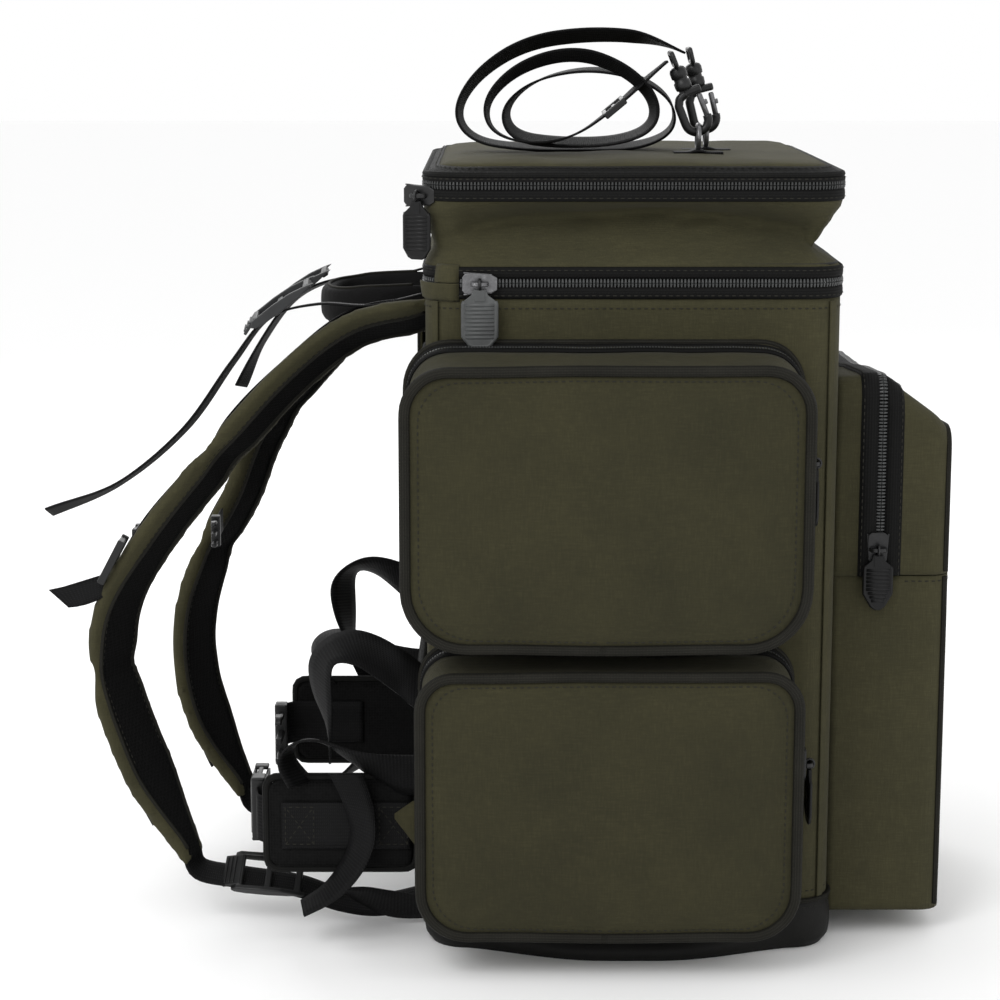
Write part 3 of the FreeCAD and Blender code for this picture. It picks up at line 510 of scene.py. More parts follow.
def cord_line(name, line, radius, material, body, closed=False, sides=8):
    """A round cord or piping along a line."""
    start = UP if abs(directions(line, closed)[0].dot(UP)) < 0.8 else Vector((1, 0, 0))
    sides_at = []
    side = start
    for tangent in directions(line, closed):
        side = (side - tangent * side.dot(tangent)).normalized()
        sides_at.append(side)
    return swept_piece(name, line, round_section(radius, sides), lambda index: sides_at[index], material,
                       body, closed)


def strap(name, points, width, thickness, across, material="webbing", body="root", spacing=4 * MM):
    """A flat strap along a curve through points.

    across is the width's direction, or gives it at a share of the length.
    """
    line = curve_through(points, spacing)
    last = len(line) - 1
    way = across if callable(across) else (lambda share: across)
    return swept_piece(name, line, flat_section(width, thickness), lambda index: way(index / last),
                       material, body)


def smoothed(line, rounds=2):
    """The line with its small kinks evened out."""
    for _ in range(rounds):
        line = [line[0]] + [(a + b * 2 + c) / 4 for a, b, c in zip(line, line[1:], line[2:])] + [line[-1]]
    return line


def stitches(name, line, outs, body, length=3 * MM, gap=2.2 * MM, radius=0.42 * MM):
    """A row of small raised thread stitches along a line; outs are the cloth's normals there."""
    dense = respaced(line, (length + gap) / 2)
    points, faces = [], []
    scale = len(outs) / max(1, len(dense))
    for index in range(0, len(dense) - 1, 2):
        start, end = dense[index], dense[index + 1]
        out = outs[min(len(outs) - 1, int(index * scale))]
        along = (end - start).normalized()
        side = along.cross(out).normalized() * radius
        lift = out * radius
        base = len(points)
        for place, rise in ((start, 0.0), (start.lerp(end, 0.3), 1.0), (start.lerp(end, 0.7), 1.0),
                            (end, 0.0)):
            points += [place - side, place + lift * (0.3 + rise), place + side]
        for step in range(3):
            low = base + step * 3
            faces += [(low, low + 1, low + 4, low + 3), (low + 1, low + 2, low + 5, low + 4)]
    return mesh_piece(name, points, faces, "thread", body, [(0.0, 0.0)] * len(points))


def ripple(point, size, seed):
    """Smooth noise from -1 to 1 over lumps of one size."""
    return noise.noise(point / size + Vector((seed * 7.3, seed * 3.1, seed * 5.7)))


def soft(value, low, high):
    """0 below low, 1 above high, smooth between."""
    share = min(1.0, max(0.0, (value - low) / (high - low)))
    return share * share * (3 - 2 * share)


# ---------------------------------------------------------------- outline of the bag

OUTLINE_STEP = 6 * MM


def outline(inset=0.0, step=OUTLINE_STEP):
    """The bag's rounded outline as (x, y, normal x, normal y), from the front's middle round past -Y."""
    deep, wide, radius = HALF_DEPTH - inset, HALF_WIDTH - inset, CORNER - inset
    centres = [(deep - radius, -wide + radius, 0), (-deep + radius, -wide + radius, -90),
               (-deep + radius, wide - radius, -180), (deep - radius, wide - radius, -270)]
    path = [Vector((deep, 0, 0))]
    for along, across, turn in centres:
        for part in range(9):
            angle = math.radians(turn - 90 * part / 8)
            path.append(Vector((along + radius * math.cos(angle), across + radius * math.sin(angle), 0)))
    ring = respaced(path, step, closed=True)
    result = []
    for point, tangent in zip(ring, directions(ring, closed=True)):
        normal = tangent.cross(UP)
        if normal.dot(point) < 0:
            normal = -normal
        result.append((point.x, point.y, normal.x, normal.y))
    return result[::-1]


OUTLINE = outline()


def flatness(along, across):
    """1 in the middle of a wall and 0 in the corners, so that corners stay crisp."""
    return soft(min(HALF_DEPTH - abs(along), HALF_WIDTH - abs(across)) + max(
        HALF_DEPTH - abs(along), HALF_WIDTH - abs(across)), CORNER, 4.5 * CORNER)


def wall_sag(along, across, height):
    """How far the soft wall stands out (+) or in (-) from the frame's outline."""
    share = soft(height, BASE_TOP, BASE_TOP + 0.05) * (1 - soft(height, MAIN_ZIP - 0.06, MAIN_ZIP - 0.012))
    belly = 2.5 * MM * math.sin(math.pi * min(1.0, max(0.0, (height - BASE_TOP) / (MAIN_ZIP - BASE_TOP))))
    room = 1.0 if along > -HALF_DEPTH + 2 * MM else 0.4
    folds = 2.2 * MM * ripple(Vector((along, across, height * 2.2)), 0.07, 1)
    fine = 0.9 * MM * ripple(Vector((along, across, height * 3)), 0.024, 2)
    return share * flatness(along, across) * (belly * 0.5 + (folds + fine) * room) - 0.6 * MM


def neck_sag(along, across, height):
    """The lid compartment's collar: it falls inwards between the zips, with a crease that arches upwards."""
    low, high = MAIN_ZIP + 12 * MM, TOP_ZIP - 12 * MM
    level = min(1.0, max(0.0, (height - low) / (high - low)))
    on_side = abs(across) / HALF_WIDTH > abs(along) / HALF_DEPTH
    share = along / HALF_DEPTH if on_side else across / HALF_WIDTH
    arch = max(0.0, 1 - abs(share) ** 3.6)
    front = soft(along, 0, HALF_DEPTH)
    rear = 1 - soft(along, -HALF_DEPTH, -0.72 * HALF_DEPTH)
    crease = (0.18 + 0.60 * arch if on_side else 0.18 + 0.10 * arch) + 0.04 * math.sin(along * 40 + across
                                                                                       * 30)
    if level > crease:
        fall = ((1 - level) / (1 - crease)) ** (1.05 - 0.25 * arch)
    else:
        fall = (level / crease) ** 0.8
    depth = (19 + 2.5 * front - 12 * rear + (12 * arch if on_side else 0.0)) * MM
    slant = Vector((along * 0.45 + height * 1.2, across * 0.45, height * 2.2 - along * 0.5))
    folds = 3.6 * MM * ripple(slant, 0.05, 3) + 2.8 * MM * ripple(slant, 0.020, 4)
    ends = soft(level, 0, 0.12) * (1 - soft(level, 0.88, 1))
    return 1.5 * MM * (1 - fall) * ends - depth * fall + ends * folds * (0.5 + 0.5 * flatness(along, across))


def ring_rows(heights, out, inset=0.0):
    """Rows round the bag's outline. out(x, y, z) is the offset from the outline at each point."""
    rows = []
    for height in heights:
        row = []
        for along, across, nx, ny in OUTLINE:
            away = out(along, across, height) - inset
            row.append(Vector((along + nx * away, across + ny * away, height)))
        rows.append(row)
    return rows


def span(low, high, step):
    """Evenly spaced heights from low to high."""
    count = max(1, round((high - low) / step))
    return [low + (high - low) * number / count for number in range(count + 1)]


def make_shell():
    """The main compartment's four walls as one sewn cloth tube, slumping between base and zip."""
    heights = span(BASE_TOP - 4 * MM, MAIN_ZIP - 12 * MM, 6 * MM)
    shell = sheet_mesh("bag_shell", ring_rows(heights, wall_sag), "olive", None, closed=True,
                       thickness=2.4 * MM)
    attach(shell, "root")
    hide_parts("back_panel", "front_panel", "left_side_panel", "right_side_panel")
    stitch_ring("wall_stitch", MAIN_ZIP - 19 * MM, wall_sag, "root", 0.4 * MM)
    stitch_ring("wall_stitch_low", BASE_TOP + 7 * MM, wall_sag, "root", 0.4 * MM)
    for name, along, across in (("rear_left", -1, -1), ("rear_right", -1, 1), ("front_left", 1, -1),
                                ("front_right", 1, 1)):
        line = []
        for height in span(BASE_TOP, MAIN_ZIP - 14 * MM, 8 * MM):
            place = Vector((along * (HALF_DEPTH - CORNER * ARC_SAG), across * (HALF_WIDTH - CORNER * ARC_SAG),
                            height))
            line.append(place + Vector((along, across, 0)).normalized() * 0.6 * MM)
        side = Vector((along, -across, 0))
        swept_piece(f"corner_seam_{name}", line, flat_section(7 * MM, 1.2 * MM),
                    lambda index, side=side: side,
                    "olive", "root")
    return shell


def stitch_ring(name, height, out, body, rise=0.0, skip=None):
    """A row of stitches all round the outline."""
    groups, line, outs = [], [], []
    for along, across, nx, ny in OUTLINE + OUTLINE[:1]:
        away = out(along, across, height) + rise
        if skip and skip(along, across):
            if len(line) > 2:
                groups.append((line, outs))
            line, outs = [], []
            continue
        line.append(Vector((along + nx * away, across + ny * away, height)))
        outs.append(Vector((nx, ny, 0)))
    if len(line) > 2:
        groups.append((line, outs))
    for number, (points, normals) in enumerate(groups):
        stitches(f"{name}_{number}", points, normals, body)


def make_base():
    """The base tray's cover of heavy coated cloth, with a soft bulge, a hem and a row of stitches."""
    def bulge(along, across, height):
        share = math.sin(math.pi * min(1.0, max(0.0, height / BASE_TOP)))
        round_off = -3.5 * MM * (1 - soft(height, 0, 7 * MM))
        on_side = abs(across) > HALF_WIDTH - 1 * MM
        slump = on_side * 29 * MM * flatness(along, across) ** 0.7 * (1 - soft(height, 4 * MM,
                                                                               BASE_TOP)) ** 1.2
        return slump + share * 2.6 * MM + round_off + 1.2 * MM * flatness(along, across) * ripple(
            Vector((along, across, height)), 0.03, 5) * share
    heights = [0.3 * MM, 1.5 * MM, 3.5 * MM, 7 * MM] + span(11 * MM, BASE_TOP + 1 * MM, 5 * MM)
    rows = ring_rows(heights, bulge)
    flat = [[Vector((point.x * share, point.y * share, 0.2 * MM)) for point in rows[0]]
            for share in (0.02, 0.25, 0.5, 0.72, 0.88, 0.96)]
    tray = sheet_mesh("base_cover", flat + rows, "coated", "root", closed=True, thickness=2.6 * MM, cap=0)
    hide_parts("base_panel")
    hem = ring_rows([BASE_TOP - 0.5 * MM], lambda x, y, z: 1.1 * MM)[0]
    cord_line("base_hem", hem, 2.0 * MM, "binding", "root", closed=True)
    stitch_ring("base_stitch", BASE_TOP - 6 * MM, bulge, "root", 0.2 * MM)


# ---------------------------------------------------------------- zips round the bag

def zip_skip(along, across):
    """The rear middle, where the two hinged parts are sewn and no zip runs."""
    return along < -HALF_DEPTH + 14 * MM and abs(across) < HALF_WIDTH - CORNER * 1.2


def teeth_row(name, line, outs, ups, body, material="teeth", pitch=2.6 * MM, width=2.6 * MM, reach=3.2 * MM,
              proud=1.4 * MM):
    """A row of separate moulded teeth along a line; ups point across the zip, away from its middle."""
    dense = respaced(line, pitch)
    points, faces = [], []
    ratio = (len(line) - 1) / max(1, len(dense) - 1)
    for index, (place, along) in enumerate(zip(dense, directions(dense))):
        source = min(len(outs) - 1, round(index * ratio))
        out, up = outs[source], ups[source]
        base = len(points)
        half = width / 2 * 0.8
        for rise, across in ((0.25, 1.0), (0.7, 0.78), (1.0, 0.45)):
            for side in (-1, 1):
                points.append(place + along * side * half * across + up
                              * (-0.5 * MM if rise < 0.5 else reach * (
                    0.15 if rise < 0.9 else 0.95)) + out * proud
                    * (0.0 if rise == 0.25 else 1.0 if rise == 0.7 else 0.6))
        low = place + along * 0 + up * reach * 1.0 - out * 0.3 * MM
        points += [low - along * half * 0.5, low + along * half * 0.5]
        faces += [(base, base + 1, base + 3, base + 2), (base + 2, base + 3, base + 5, base + 4),
                  (base + 4, base + 5, base + 7, base + 6), (base, base + 2, base + 4, base + 6),
                  (base + 1, base + 7, base + 5, base + 3)]
    return mesh_piece(name, points, faces, material, body, [(0, 0)] * len(points), smooth=False)


def half_band(name, middle, side, body, out, top=12 * MM, node=None, teeth="teeth"):
    """One half of a zip round the bag: a stitched tape with a folded edge, and its row of teeth.

    side is +1 above the zip's middle line and -1 below it.
    """
    levels = (0.2, 1.6, 3.4, 3.9, 6.5, 9.5, 11.2, 12.0)
    rise = (0.1, 0.2, 0.3, 1.3, 1.6, 1.5, 1.2, 0.2)
    scale = top / (12 * MM)
    rows = []
    for level, lift in zip(levels, rise):
        height = middle + side * level * MM * (scale if level > 3.5 else 1.0)
        rows.append(ring_rows([height], lambda x, y, z, lift=lift: out(x, y, z) + lift * MM - 0.4 * MM)[0])
    tape = sheet_mesh(name, rows, "tape", body, closed=True, thickness=side * 1.6 * MM)
    if node:
        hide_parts(node)
    line, outs = [], []
    start = next(index for index, item in enumerate(OUTLINE) if zip_skip(item[0], item[1]))
    turned = OUTLINE[start:] + OUTLINE[:start]
    for along, across, nx, ny in turned:
        if zip_skip(along, across):
            continue
        away = out(along, across, middle) + 0.1 * MM
        line.append(Vector((along + nx * away, across + ny * away, middle)))
        outs.append(Vector((nx, ny, 0)))
    teeth_row(f"{name}_teeth", line, outs, [UP * side] * len(outs), body, teeth)
    stitch_ring(f"{name}_stitch", middle + side * 9.4 * MM * scale, out, body, 1.3 * MM)
    return tape


def make_zip_ends():
    """Olive cloth over both ends of the main zip, round the rear corners.

    Each half stays with its own tape, and the lid's half ends in front of the lid's hinge line.
    """
    reach = -HALF_DEPTH + 27 * MM
    for hand, side in (("left", LEFT), ("right", RIGHT)):
        corner = [item for item in OUTLINE if item[0] < reach and item[1] * side > HALF_WIDTH - CORNER * 1.1]
        clear = [item for item in corner if item[2] > -0.75]
        for half, body, levels, stretch in (("lower", "root", (-14, -12.4, -9, -5, -1.6, -0.3), corner),
                                            ("upper", "lid", (0.3, 1.6, 5, 9, 12.4, 14), clear)):
            rows = []
            for level in levels:
                rise = (2.2 + 1.2 * math.cos(math.radians(level * 9))
                        - (1.6 if abs(level) > 13 else 0.0)) * MM
                row = []
                for along, across, nx, ny in stretch:
                    edge = 1 - 0.45 * soft(along, reach - 6 * MM, reach)
                    away = rise * edge + 0.5 * MM * ripple(Vector((along, across, level * MM)), 0.012, 9)
                    row.append(Vector((along + nx * away, across + ny * away, MAIN_ZIP + level * MM)))
                rows.append(row)
            sheet_mesh(f"main_zip_{half}_{hand}_end", rows, "olive", body, thickness=1.2 * MM)


def no_sag(along, across, height):
    """A part of the bag that holds the frame's outline."""
    return 0.0


def zip_wave(along, across, height):
    """The small waves of a zip sewn into cloth."""
    return 0.7 * MM * ripple(Vector((along, across, 0.3)), 0.06, 6) * flatness(along, across)


# ---------------------------------------------------------------- lid

def make_lid():
    """The lid's collar between the two zips, and the crowned panel on top with its binding."""
    heights = span(MAIN_ZIP + 10 * MM, TOP_ZIP - 10 * MM, 3.5 * MM)
    collar = sheet_mesh("lid_collar", ring_rows(heights, neck_sag), "olive", "lid", closed=True,
                        thickness=2.2 * MM)
    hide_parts("lid_box")
    floor = [[Vector((point.x * share, point.y * share, MAIN_ZIP + 12.5 * MM)) for point in ring_rows(
        [0], lambda x, y, z: -3 * MM)[0]] for share in (0.02, 0.3, 0.6, 0.9, 1.0)]
    sheet_mesh("lid_floor", floor, "lining", "lid", closed=True, thickness=1.6 * MM, cap=0)
    rim_height = TOP_ZIP + 6 * MM
    ring = ring_rows([0], no_sag)[0]
    rows = []
    crown = LID_TOP - rim_height
    for share in (1.0, 0.985, 0.965, 0.945, 0.93, 0.88, 0.82, 0.75, 0.67, 0.58, 0.48, 0.37, 0.25, 0.12, 0.02):
        row = []
        for point in ring:
            flat = Vector((point.x * share, point.y * share, 0))
            rise = crown * (1 - max(0.0, (share - 0.80) / 0.20) ** 2.2)
            dents = 2.2 * MM * ripple(flat, 0.09, 7) + 0.8 * MM * ripple(flat, 0.03, 8)
            row.append(Vector((flat.x, flat.y, rim_height + rise + dents * (1 - share ** 8) + 1.5 * MM
                               * (1 - share))))
        rows.append(row)
    top = sheet_mesh("lid_top", rows[4:], "olive", "top_lid", closed=True, thickness=2.6 * MM, cap=-1)
    sheet_mesh("lid_rim", [[point + UP * 0.7 * MM for point in row] for row in rows[:5]], "rim", "top_lid",
               closed=True,
               thickness=2.6 * MM)
    stitches("lid_rim_stitch", [point + UP * 1.0 * MM for point in rows[3] + rows[3][:1]],
             [UP] * (len(rows[3]) + 1), "top_lid")
    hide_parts("top_lid")
    edge = [Vector((point.x * 0.992, point.y * 0.992, rim_height + 1.4 * MM)) for point in ring]
    cord_line("lid_piping", edge, 2.6 * MM, "rim", "top_lid", closed=True)


# ---------------------------------------------------------------- pockets on the sides

class SidePocket:
    """One side pocket's rounded outline in its own plane, and its cloth surfaces."""

    def __init__(self, hand, level, body):
        self.name = f"{hand}_{level}"
        self.body = body
        self.side = LEFT if hand == "left" else RIGHT
        low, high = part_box(f"{hand}_{level}_pocket_cover")
        snug = level == "lower"
        self.rear, self.front = low.x + (10 * MM if snug else 0), high.x - (6 * MM if snug else 2 * MM)
        self.bottom, self.top = low.z + (6 * MM if snug else 0), high.z
        self.wall_rise = 9 * MM if snug else 13 * MM
        self.wall = HALF_WIDTH
        self.depth = 70 * MM
        self.middle = Vector(((self.rear + self.front) / 2, 0, (self.bottom + self.top) / 2))
        self.ring = self.make_ring(36 * MM if snug else 46 * MM, 26 * MM if snug else 32 * MM)

    def make_ring(self, low_radius, high_radius):
        """The rounded outline as (x, z, normal) points, from the bottom's middle."""
        half_x, half_z = (self.front - self.rear) / 2, (self.top - self.bottom) / 2
        path = [Vector((0, 0, -half_z))]
        for sx, sz, turn in ((1, -1, -90), (1, 1, 0), (-1, 1, 90), (-1, -1, 180)):
            radius = low_radius if sz < 0 else high_radius
            for part in range(9):
                angle = math.radians(turn + 90 * part / 8)
                path.append(Vector((sx * (half_x - radius) + radius * math.cos(angle), 0,
                                    sz * (half_z - radius) + radius * math.sin(angle))))
        ring = respaced(path, 5 * MM, closed=True)
        result = []
        for point, tangent in zip(ring, directions(ring, closed=True)):
            normal = tangent.cross(Vector((0, 1, 0)))
            if normal.dot(point) < 0:
                normal = -normal
            result.append((point, normal.normalized()))
        return result

    def place(self, point, out, normal, puff):
        """A point of the outline, moved out along its normal, at a distance from the bag's wall."""
        spot = self.middle + point + normal * puff
        share = min(1.0, max(0.0, out / self.depth))
        half = (self.top - self.bottom) / 2
        spot.z += (1 - share) * self.wall_rise * soft(point.z, 0.1 * half, half)
        spot.z += 1.6 * MM * ripple(Vector((point.x, self.side, point.z)), 0.11, 14) * share
        return Vector((spot.x, self.side * (self.wall + out), max(spot.z, 6 * MM)))

    def split(self, point):
        """How far out the zip runs at one height: by the wall above, slanting to the face at the bottom."""
        height = point.z + (self.top - self.bottom) / 2
        half = (self.top - self.bottom) / 2
        share = min(1.0, max(0.0, 1 - height / half))
        return 12 * MM + (self.depth - 12 * MM - 5 * MM) * share

    def gusset_puff(self, point, out):
        """The gusset is a little slack: it bellies in between the wall and the face."""
        share = math.sin(math.pi * min(1.0, max(0.0, out / self.depth)))
        where = Vector((point.x, self.side * out, point.z)) + self.middle
        return share * (-2.0 * MM + 1.8 * MM * ripple(where, 0.045, 11))

    def make_tub(self):
        """The part sewn to the bag: a strip of gusset that widens towards the bottom."""
        rows = []
        for share in (0.0, 0.12, 0.3, 0.5, 0.7, 0.88, 1.0):
            rows.append([self.place(point, self.split(point) * share - 1 * MM * (share == 0.0), normal,
                                    self.gusset_puff(
                point, self.split(point) * share) * share) for point, normal in self.ring])
        tub = sheet_mesh(f"{self.name}_gusset_tub", rows, "olive", None, closed=True,
                         thickness=-self.side * 2.0 * MM)
        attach(tub, "root")
        line = [self.place(point, 2.2 * MM, normal, 0.4 * MM) for point, normal in self.ring]
        cord_line(f"{self.name}_wall_piping", line, 2.4 * MM, "binding", "root", closed=True)
        return tub

    def face_crown(self, share, point):
        """How far the stuffed face stands out at a share of the way from its edge to its middle."""
        where = self.middle + point
        edge = 1 - (1 - min(1.0, share * 2.6)) ** 2.4
        dents = 2.4 * MM * ripple(where, 0.075, 12 + self.side) + 0.8 * MM * ripple(where, 0.026, 13)
        return edge * (7.0 * MM + 6 * MM * share) + dents * min(1.0, share * 4)

    def make_cover(self):
        """The gusset outside the zip and the padded face, in one cloth shell that folds down."""
        rows = []
        depth = self.depth
        for share in (0.0, 0.25, 0.5, 0.75, 1.0):
            row = []
            for point, normal in self.ring:
                start = self.split(point) + 2.5 * MM
                out = start + (depth - 4 * MM - start) * share
                row.append(self.place(point, out, normal, self.gusset_puff(point, out)))
            rows.append(row)
        for share in (0.0, 0.03, 0.07, 0.12, 0.18, 0.26, 0.35, 0.46, 0.58, 0.72, 0.86, 0.985):
            rows.append([self.place(point * (1 - share),
                                    depth - 3.5 * MM + self.face_crown(share, point * (1 - share)),
                                    normal, -2.5 * MM if share == 0.0 else 0.0)
                                    for point, normal in self.ring])
        # The face cloth takes the darker copy of the olive, painted shade.
        cover = sheet_mesh(f"{self.name}_cover_cloth", rows, "face", None, closed=True,
                           thickness=-self.side * 2.0 * MM,
                           cap=-1)
        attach(cover, self.body)
        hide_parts(f"{self.name}_pocket_cover")
        line = [self.place(point, depth - 2.6 * MM, normal, -0.6 * MM) for point, normal in self.ring]
        piping = cord_line(f"{self.name}_face_piping", line, 4.3 * MM, "binding", self.body, closed=True)
        self.stitch_piping()
        return piping

    def stitch_piping(self):
        """A stitch line on the face, just inside its piping."""
        line = [self.place(point * 0.93, self.depth - 3.0 * MM + self.face_crown(0.07, point * 0.93),
                           normal, 0)
                for point, normal in self.ring]
        stitches(f"{self.name}_face_stitch", line, [Vector((0, self.side, 0))] * len(line), self.body)

    def make_zip(self):
        """Tape and teeth along the split, over the top and down both sides."""
        run = [(point, normal) for point, normal in self.rolled()
               if point.z > -(self.top - self.bottom) / 2 + 14 * MM]
        for side, body in ((-1, "root"), (1, self.body)):
            rows = []
            for level, rise in ((0.2, 0.2), (2.6, 0.3), (3.0, 1.3), (7.5, 1.3), (8.6, 0.2)):
                rows.append([self.place(point, self.split(point) + side * level * MM, normal,
                                        rise * MM + self.gusset_puff(
                    point, self.split(point))) for point, normal in run])
            sheet_mesh(f"{self.name}_zip_tape_{body}", rows, "tape", body)
            line = [self.place(point, self.split(point), normal,
                               0.3 * MM + self.gusset_puff(point, self.split(point)))
                    for point, normal in run]
            teeth_row(f"{self.name}_zip_teeth_{body}", line, [normal for _, normal in run],
                      [Vector((0, self.side * side, 0))] * len(run), body, pitch=2.2 * MM, width=2.2 * MM,
                      reach=2.6 * MM, proud=1.1 * MM)

    def rolled(self):
        """The ring from the bottom's middle round to it again, in order."""
        start = min(range(len(self.ring)), key=lambda index: (self.ring[index][0].z,
                                                              abs(self.ring[index][0].x)))
        return self.ring[start:] + self.ring[:start]

    def build(self):
        """Everything of one pocket; gives back its tub."""
        self.make_cover()
        self.make_zip()
        return self.make_tub()


def make_side_pockets():
    """Four pockets; the two tubs of a side stand for one CAD node."""
    tubs = []
    for hand in ("left", "right"):
        for level in ("upper", "lower"):
            tub = SidePocket(hand, level, f"{hand}_{level}_cover").build()
            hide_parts(f"{hand}_pocket_tubs")
            tubs.append(tub)
    return tubs


# ---------------------------------------------------------------- front pocket

class FrontPocket:
    """The front pocket's cloth: arches across Y that follow one another from the bag's wall to its front."""

    def __init__(self):
        low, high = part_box("front_pocket_tub")
        self.bottom, self.top = low.z, high.z
        self.rear, self.out = HALF_DEPTH, 91 * MM
        self.half = high.y
        self.zip_out = 35 * MM
        self.low_top = 404 * MM
        self.fold = 290 * MM
        self.corner = 16 * MM

    def slump(self, across):
        """The top hangs lower on the far side."""
        return 15 * MM * soft(across, -self.half, self.half * 0.7)

    def height_at(self, out):
        """The top's height at a distance from the bag's wall: flat, then sloping to the front."""
        share = max(0.0, (out - self.zip_out) / (self.out - self.zip_out))
        return self.top + (self.low_top - self.top) * share

    def edge_inset(self, out):
        """How far the sides draw in where the pocket rounds off to its front."""
        past = max(0.0, out - (self.out - self.corner))
        return self.corner - math.sqrt(max(0.0, self.corner ** 2 - past ** 2))

    def bulge(self, across, height):
        """How far the front face stands out: stuffed in the middle, flat at its edges and at the fold."""
        where = Vector((0.3, across, height))
        side = 1 - soft(abs(across), self.half - 0.06, self.half - 0.008)
        level = soft(height, self.bottom, self.bottom + 0.05) * (1 - soft(height, self.low_top - 0.04,
                                                                          self.low_top))
        seam = soft(abs(height - self.fold), 3 * MM, 0.045)
        lumps = 2.6 * MM * ripple(where, 0.08, 21) + 1.0 * MM * ripple(where, 0.028, 22)
        return side * level * seam * (4.5 * MM + lumps)

    def arch(self, out, low, shrink=1.0):
        """One arch at a distance from the wall: up one side, across the top and down the other."""
        inset = self.edge_inset(out)
        half = (self.half - inset) * shrink
        high = self.height_at(out) - inset * 0.8
        high = low + (high - low) * shrink
        radius = min(12 * MM, half * 0.9, (high - low) * 0.9)
        path = [Vector((0, -half, low)), Vector((0, -half, high - radius))]
        for part in range(1, 7):
            angle = math.radians(180 - 15 * part)
            path.append(Vector((0, -half + radius + radius * math.cos(angle),
                                high - radius + radius * math.sin(angle))))
        path += [Vector((0, -point.y, point.z)) for point in reversed(path)]
        length = sum((b - a).length for a, b in zip(path, path[1:]))
        line = respaced(path, length / 110)
        result = []
        for point in line:
            drop = self.slump(point.y) * soft(point.z, self.top - 0.12,
                                              self.top - 0.03) * (point.z > self.fold)
            where = Vector((out, point.y, point.z))
            side = soft(point.z, self.bottom, self.bottom + 0.04) * (1 - shrink_soft(shrink))
            wave = side * (1.6 * MM * ripple(where, 0.06, 23) - 1.2 * MM
                           * math.sin(math.pi * min(1.0, out / self.out)))
            push = self.bulge(point.y, point.z) * shrink_soft(shrink)
            up = 2.0 * MM * ripple(where, 0.07, 24) * (point.z > high - 2 * MM) * (1 - shrink_soft(shrink))
            sideways = math.copysign(wave, point.y) if point.z < high - radius else 0.0
            result.append(Vector((self.rear + out + push, point.y + sideways, point.z - drop + up)))
        return result

    def wall_ring(self, height):
        """The pocket's outline seen from above at one height: from the wall round the front to the wall."""
        half, out, radius = self.half, self.out, self.corner
        path = [Vector((0, -half, height)), Vector((out - radius, -half, height))]
        for part in range(1, 7):
            angle = math.radians(-90 + 15 * part)
            path.append(Vector((out - radius + radius * math.cos(angle),
                                -half + radius + radius * math.sin(angle), height)))
        path += [Vector((point.x, -point.y, point.z)) for point in reversed(path)]
        result = []
        for point in respaced(path, 5.5 * MM):
            front = soft(point.x, self.out - self.corner, self.out - 1 * MM)
            level = soft(height, self.bottom, self.bottom + 0.04) * soft(abs(height - self.fold), 3 * MM,
                                                                         0.045)
            wave = level * (1 - front) * (1.6 * MM * ripple(point, 0.06, 23) - 1.2 * MM * math.sin(
                math.pi * min(1.0, point.x / self.out)))
            result.append(Vector((self.rear + point.x + self.bulge(point.y, height) * front,
                                  point.y + math.copysign(wave, point.y), height)))
        return result

    def build(self):
        """Tub, flap, zip halves, piping and the sewn line between flap and tub."""
        tub = sheet_mesh("front_pocket_cloth", [self.wall_ring(height)
                                                for height in span(self.bottom, self.fold, 6 * MM)],
                         "olive", "root", thickness=2.2 * MM)
        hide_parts("front_pocket_tub")
        ring = self.wall_ring(self.bottom)
        under = [[Vector((self.rear + (point.x - self.rear) * share, point.y * (0.02 + 0.98 * share),
                          self.bottom + 0.4 * MM))
                  for point in ring] for share in (0.03, 0.3, 0.6, 0.85, 1.0)]
        sheet_mesh("front_pocket_underside", under, "olive", "root", thickness=1.8 * MM)
        strip = [self.arch(out, self.fold) for out in span(0, self.zip_out - 2 * MM, 5 * MM)]
        sheet_mesh("front_pocket_strip", strip, "olive", "root", thickness=-2.0 * MM)
        low = self.fold + 1 * MM
        rows = [self.arch(out, low) for out in span(self.zip_out + 2 * MM, self.out - self.corner, 5 * MM)]
        rows += [self.arch(self.out - self.corner + self.corner * share, low)
                 for share in (0.3, 0.55, 0.75, 0.9, 0.97, 1.0)]
        rows += [self.arch(self.out, low, shrink) for shrink in (0.985, 0.96, 0.92, 0.87, 0.8, 0.72, 0.63,
                                                                 0.54, 0.44, 0.34,
                                                                 0.24, 0.14, 0.05)]
        flap = sheet_mesh("front_flap_cloth", rows, "olive", "front_flap", thickness=-2.2 * MM, cap=-1)
        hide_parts("front_pocket_flap")
        self.make_zip(strip[-1], rows[0])
        self.make_piping()

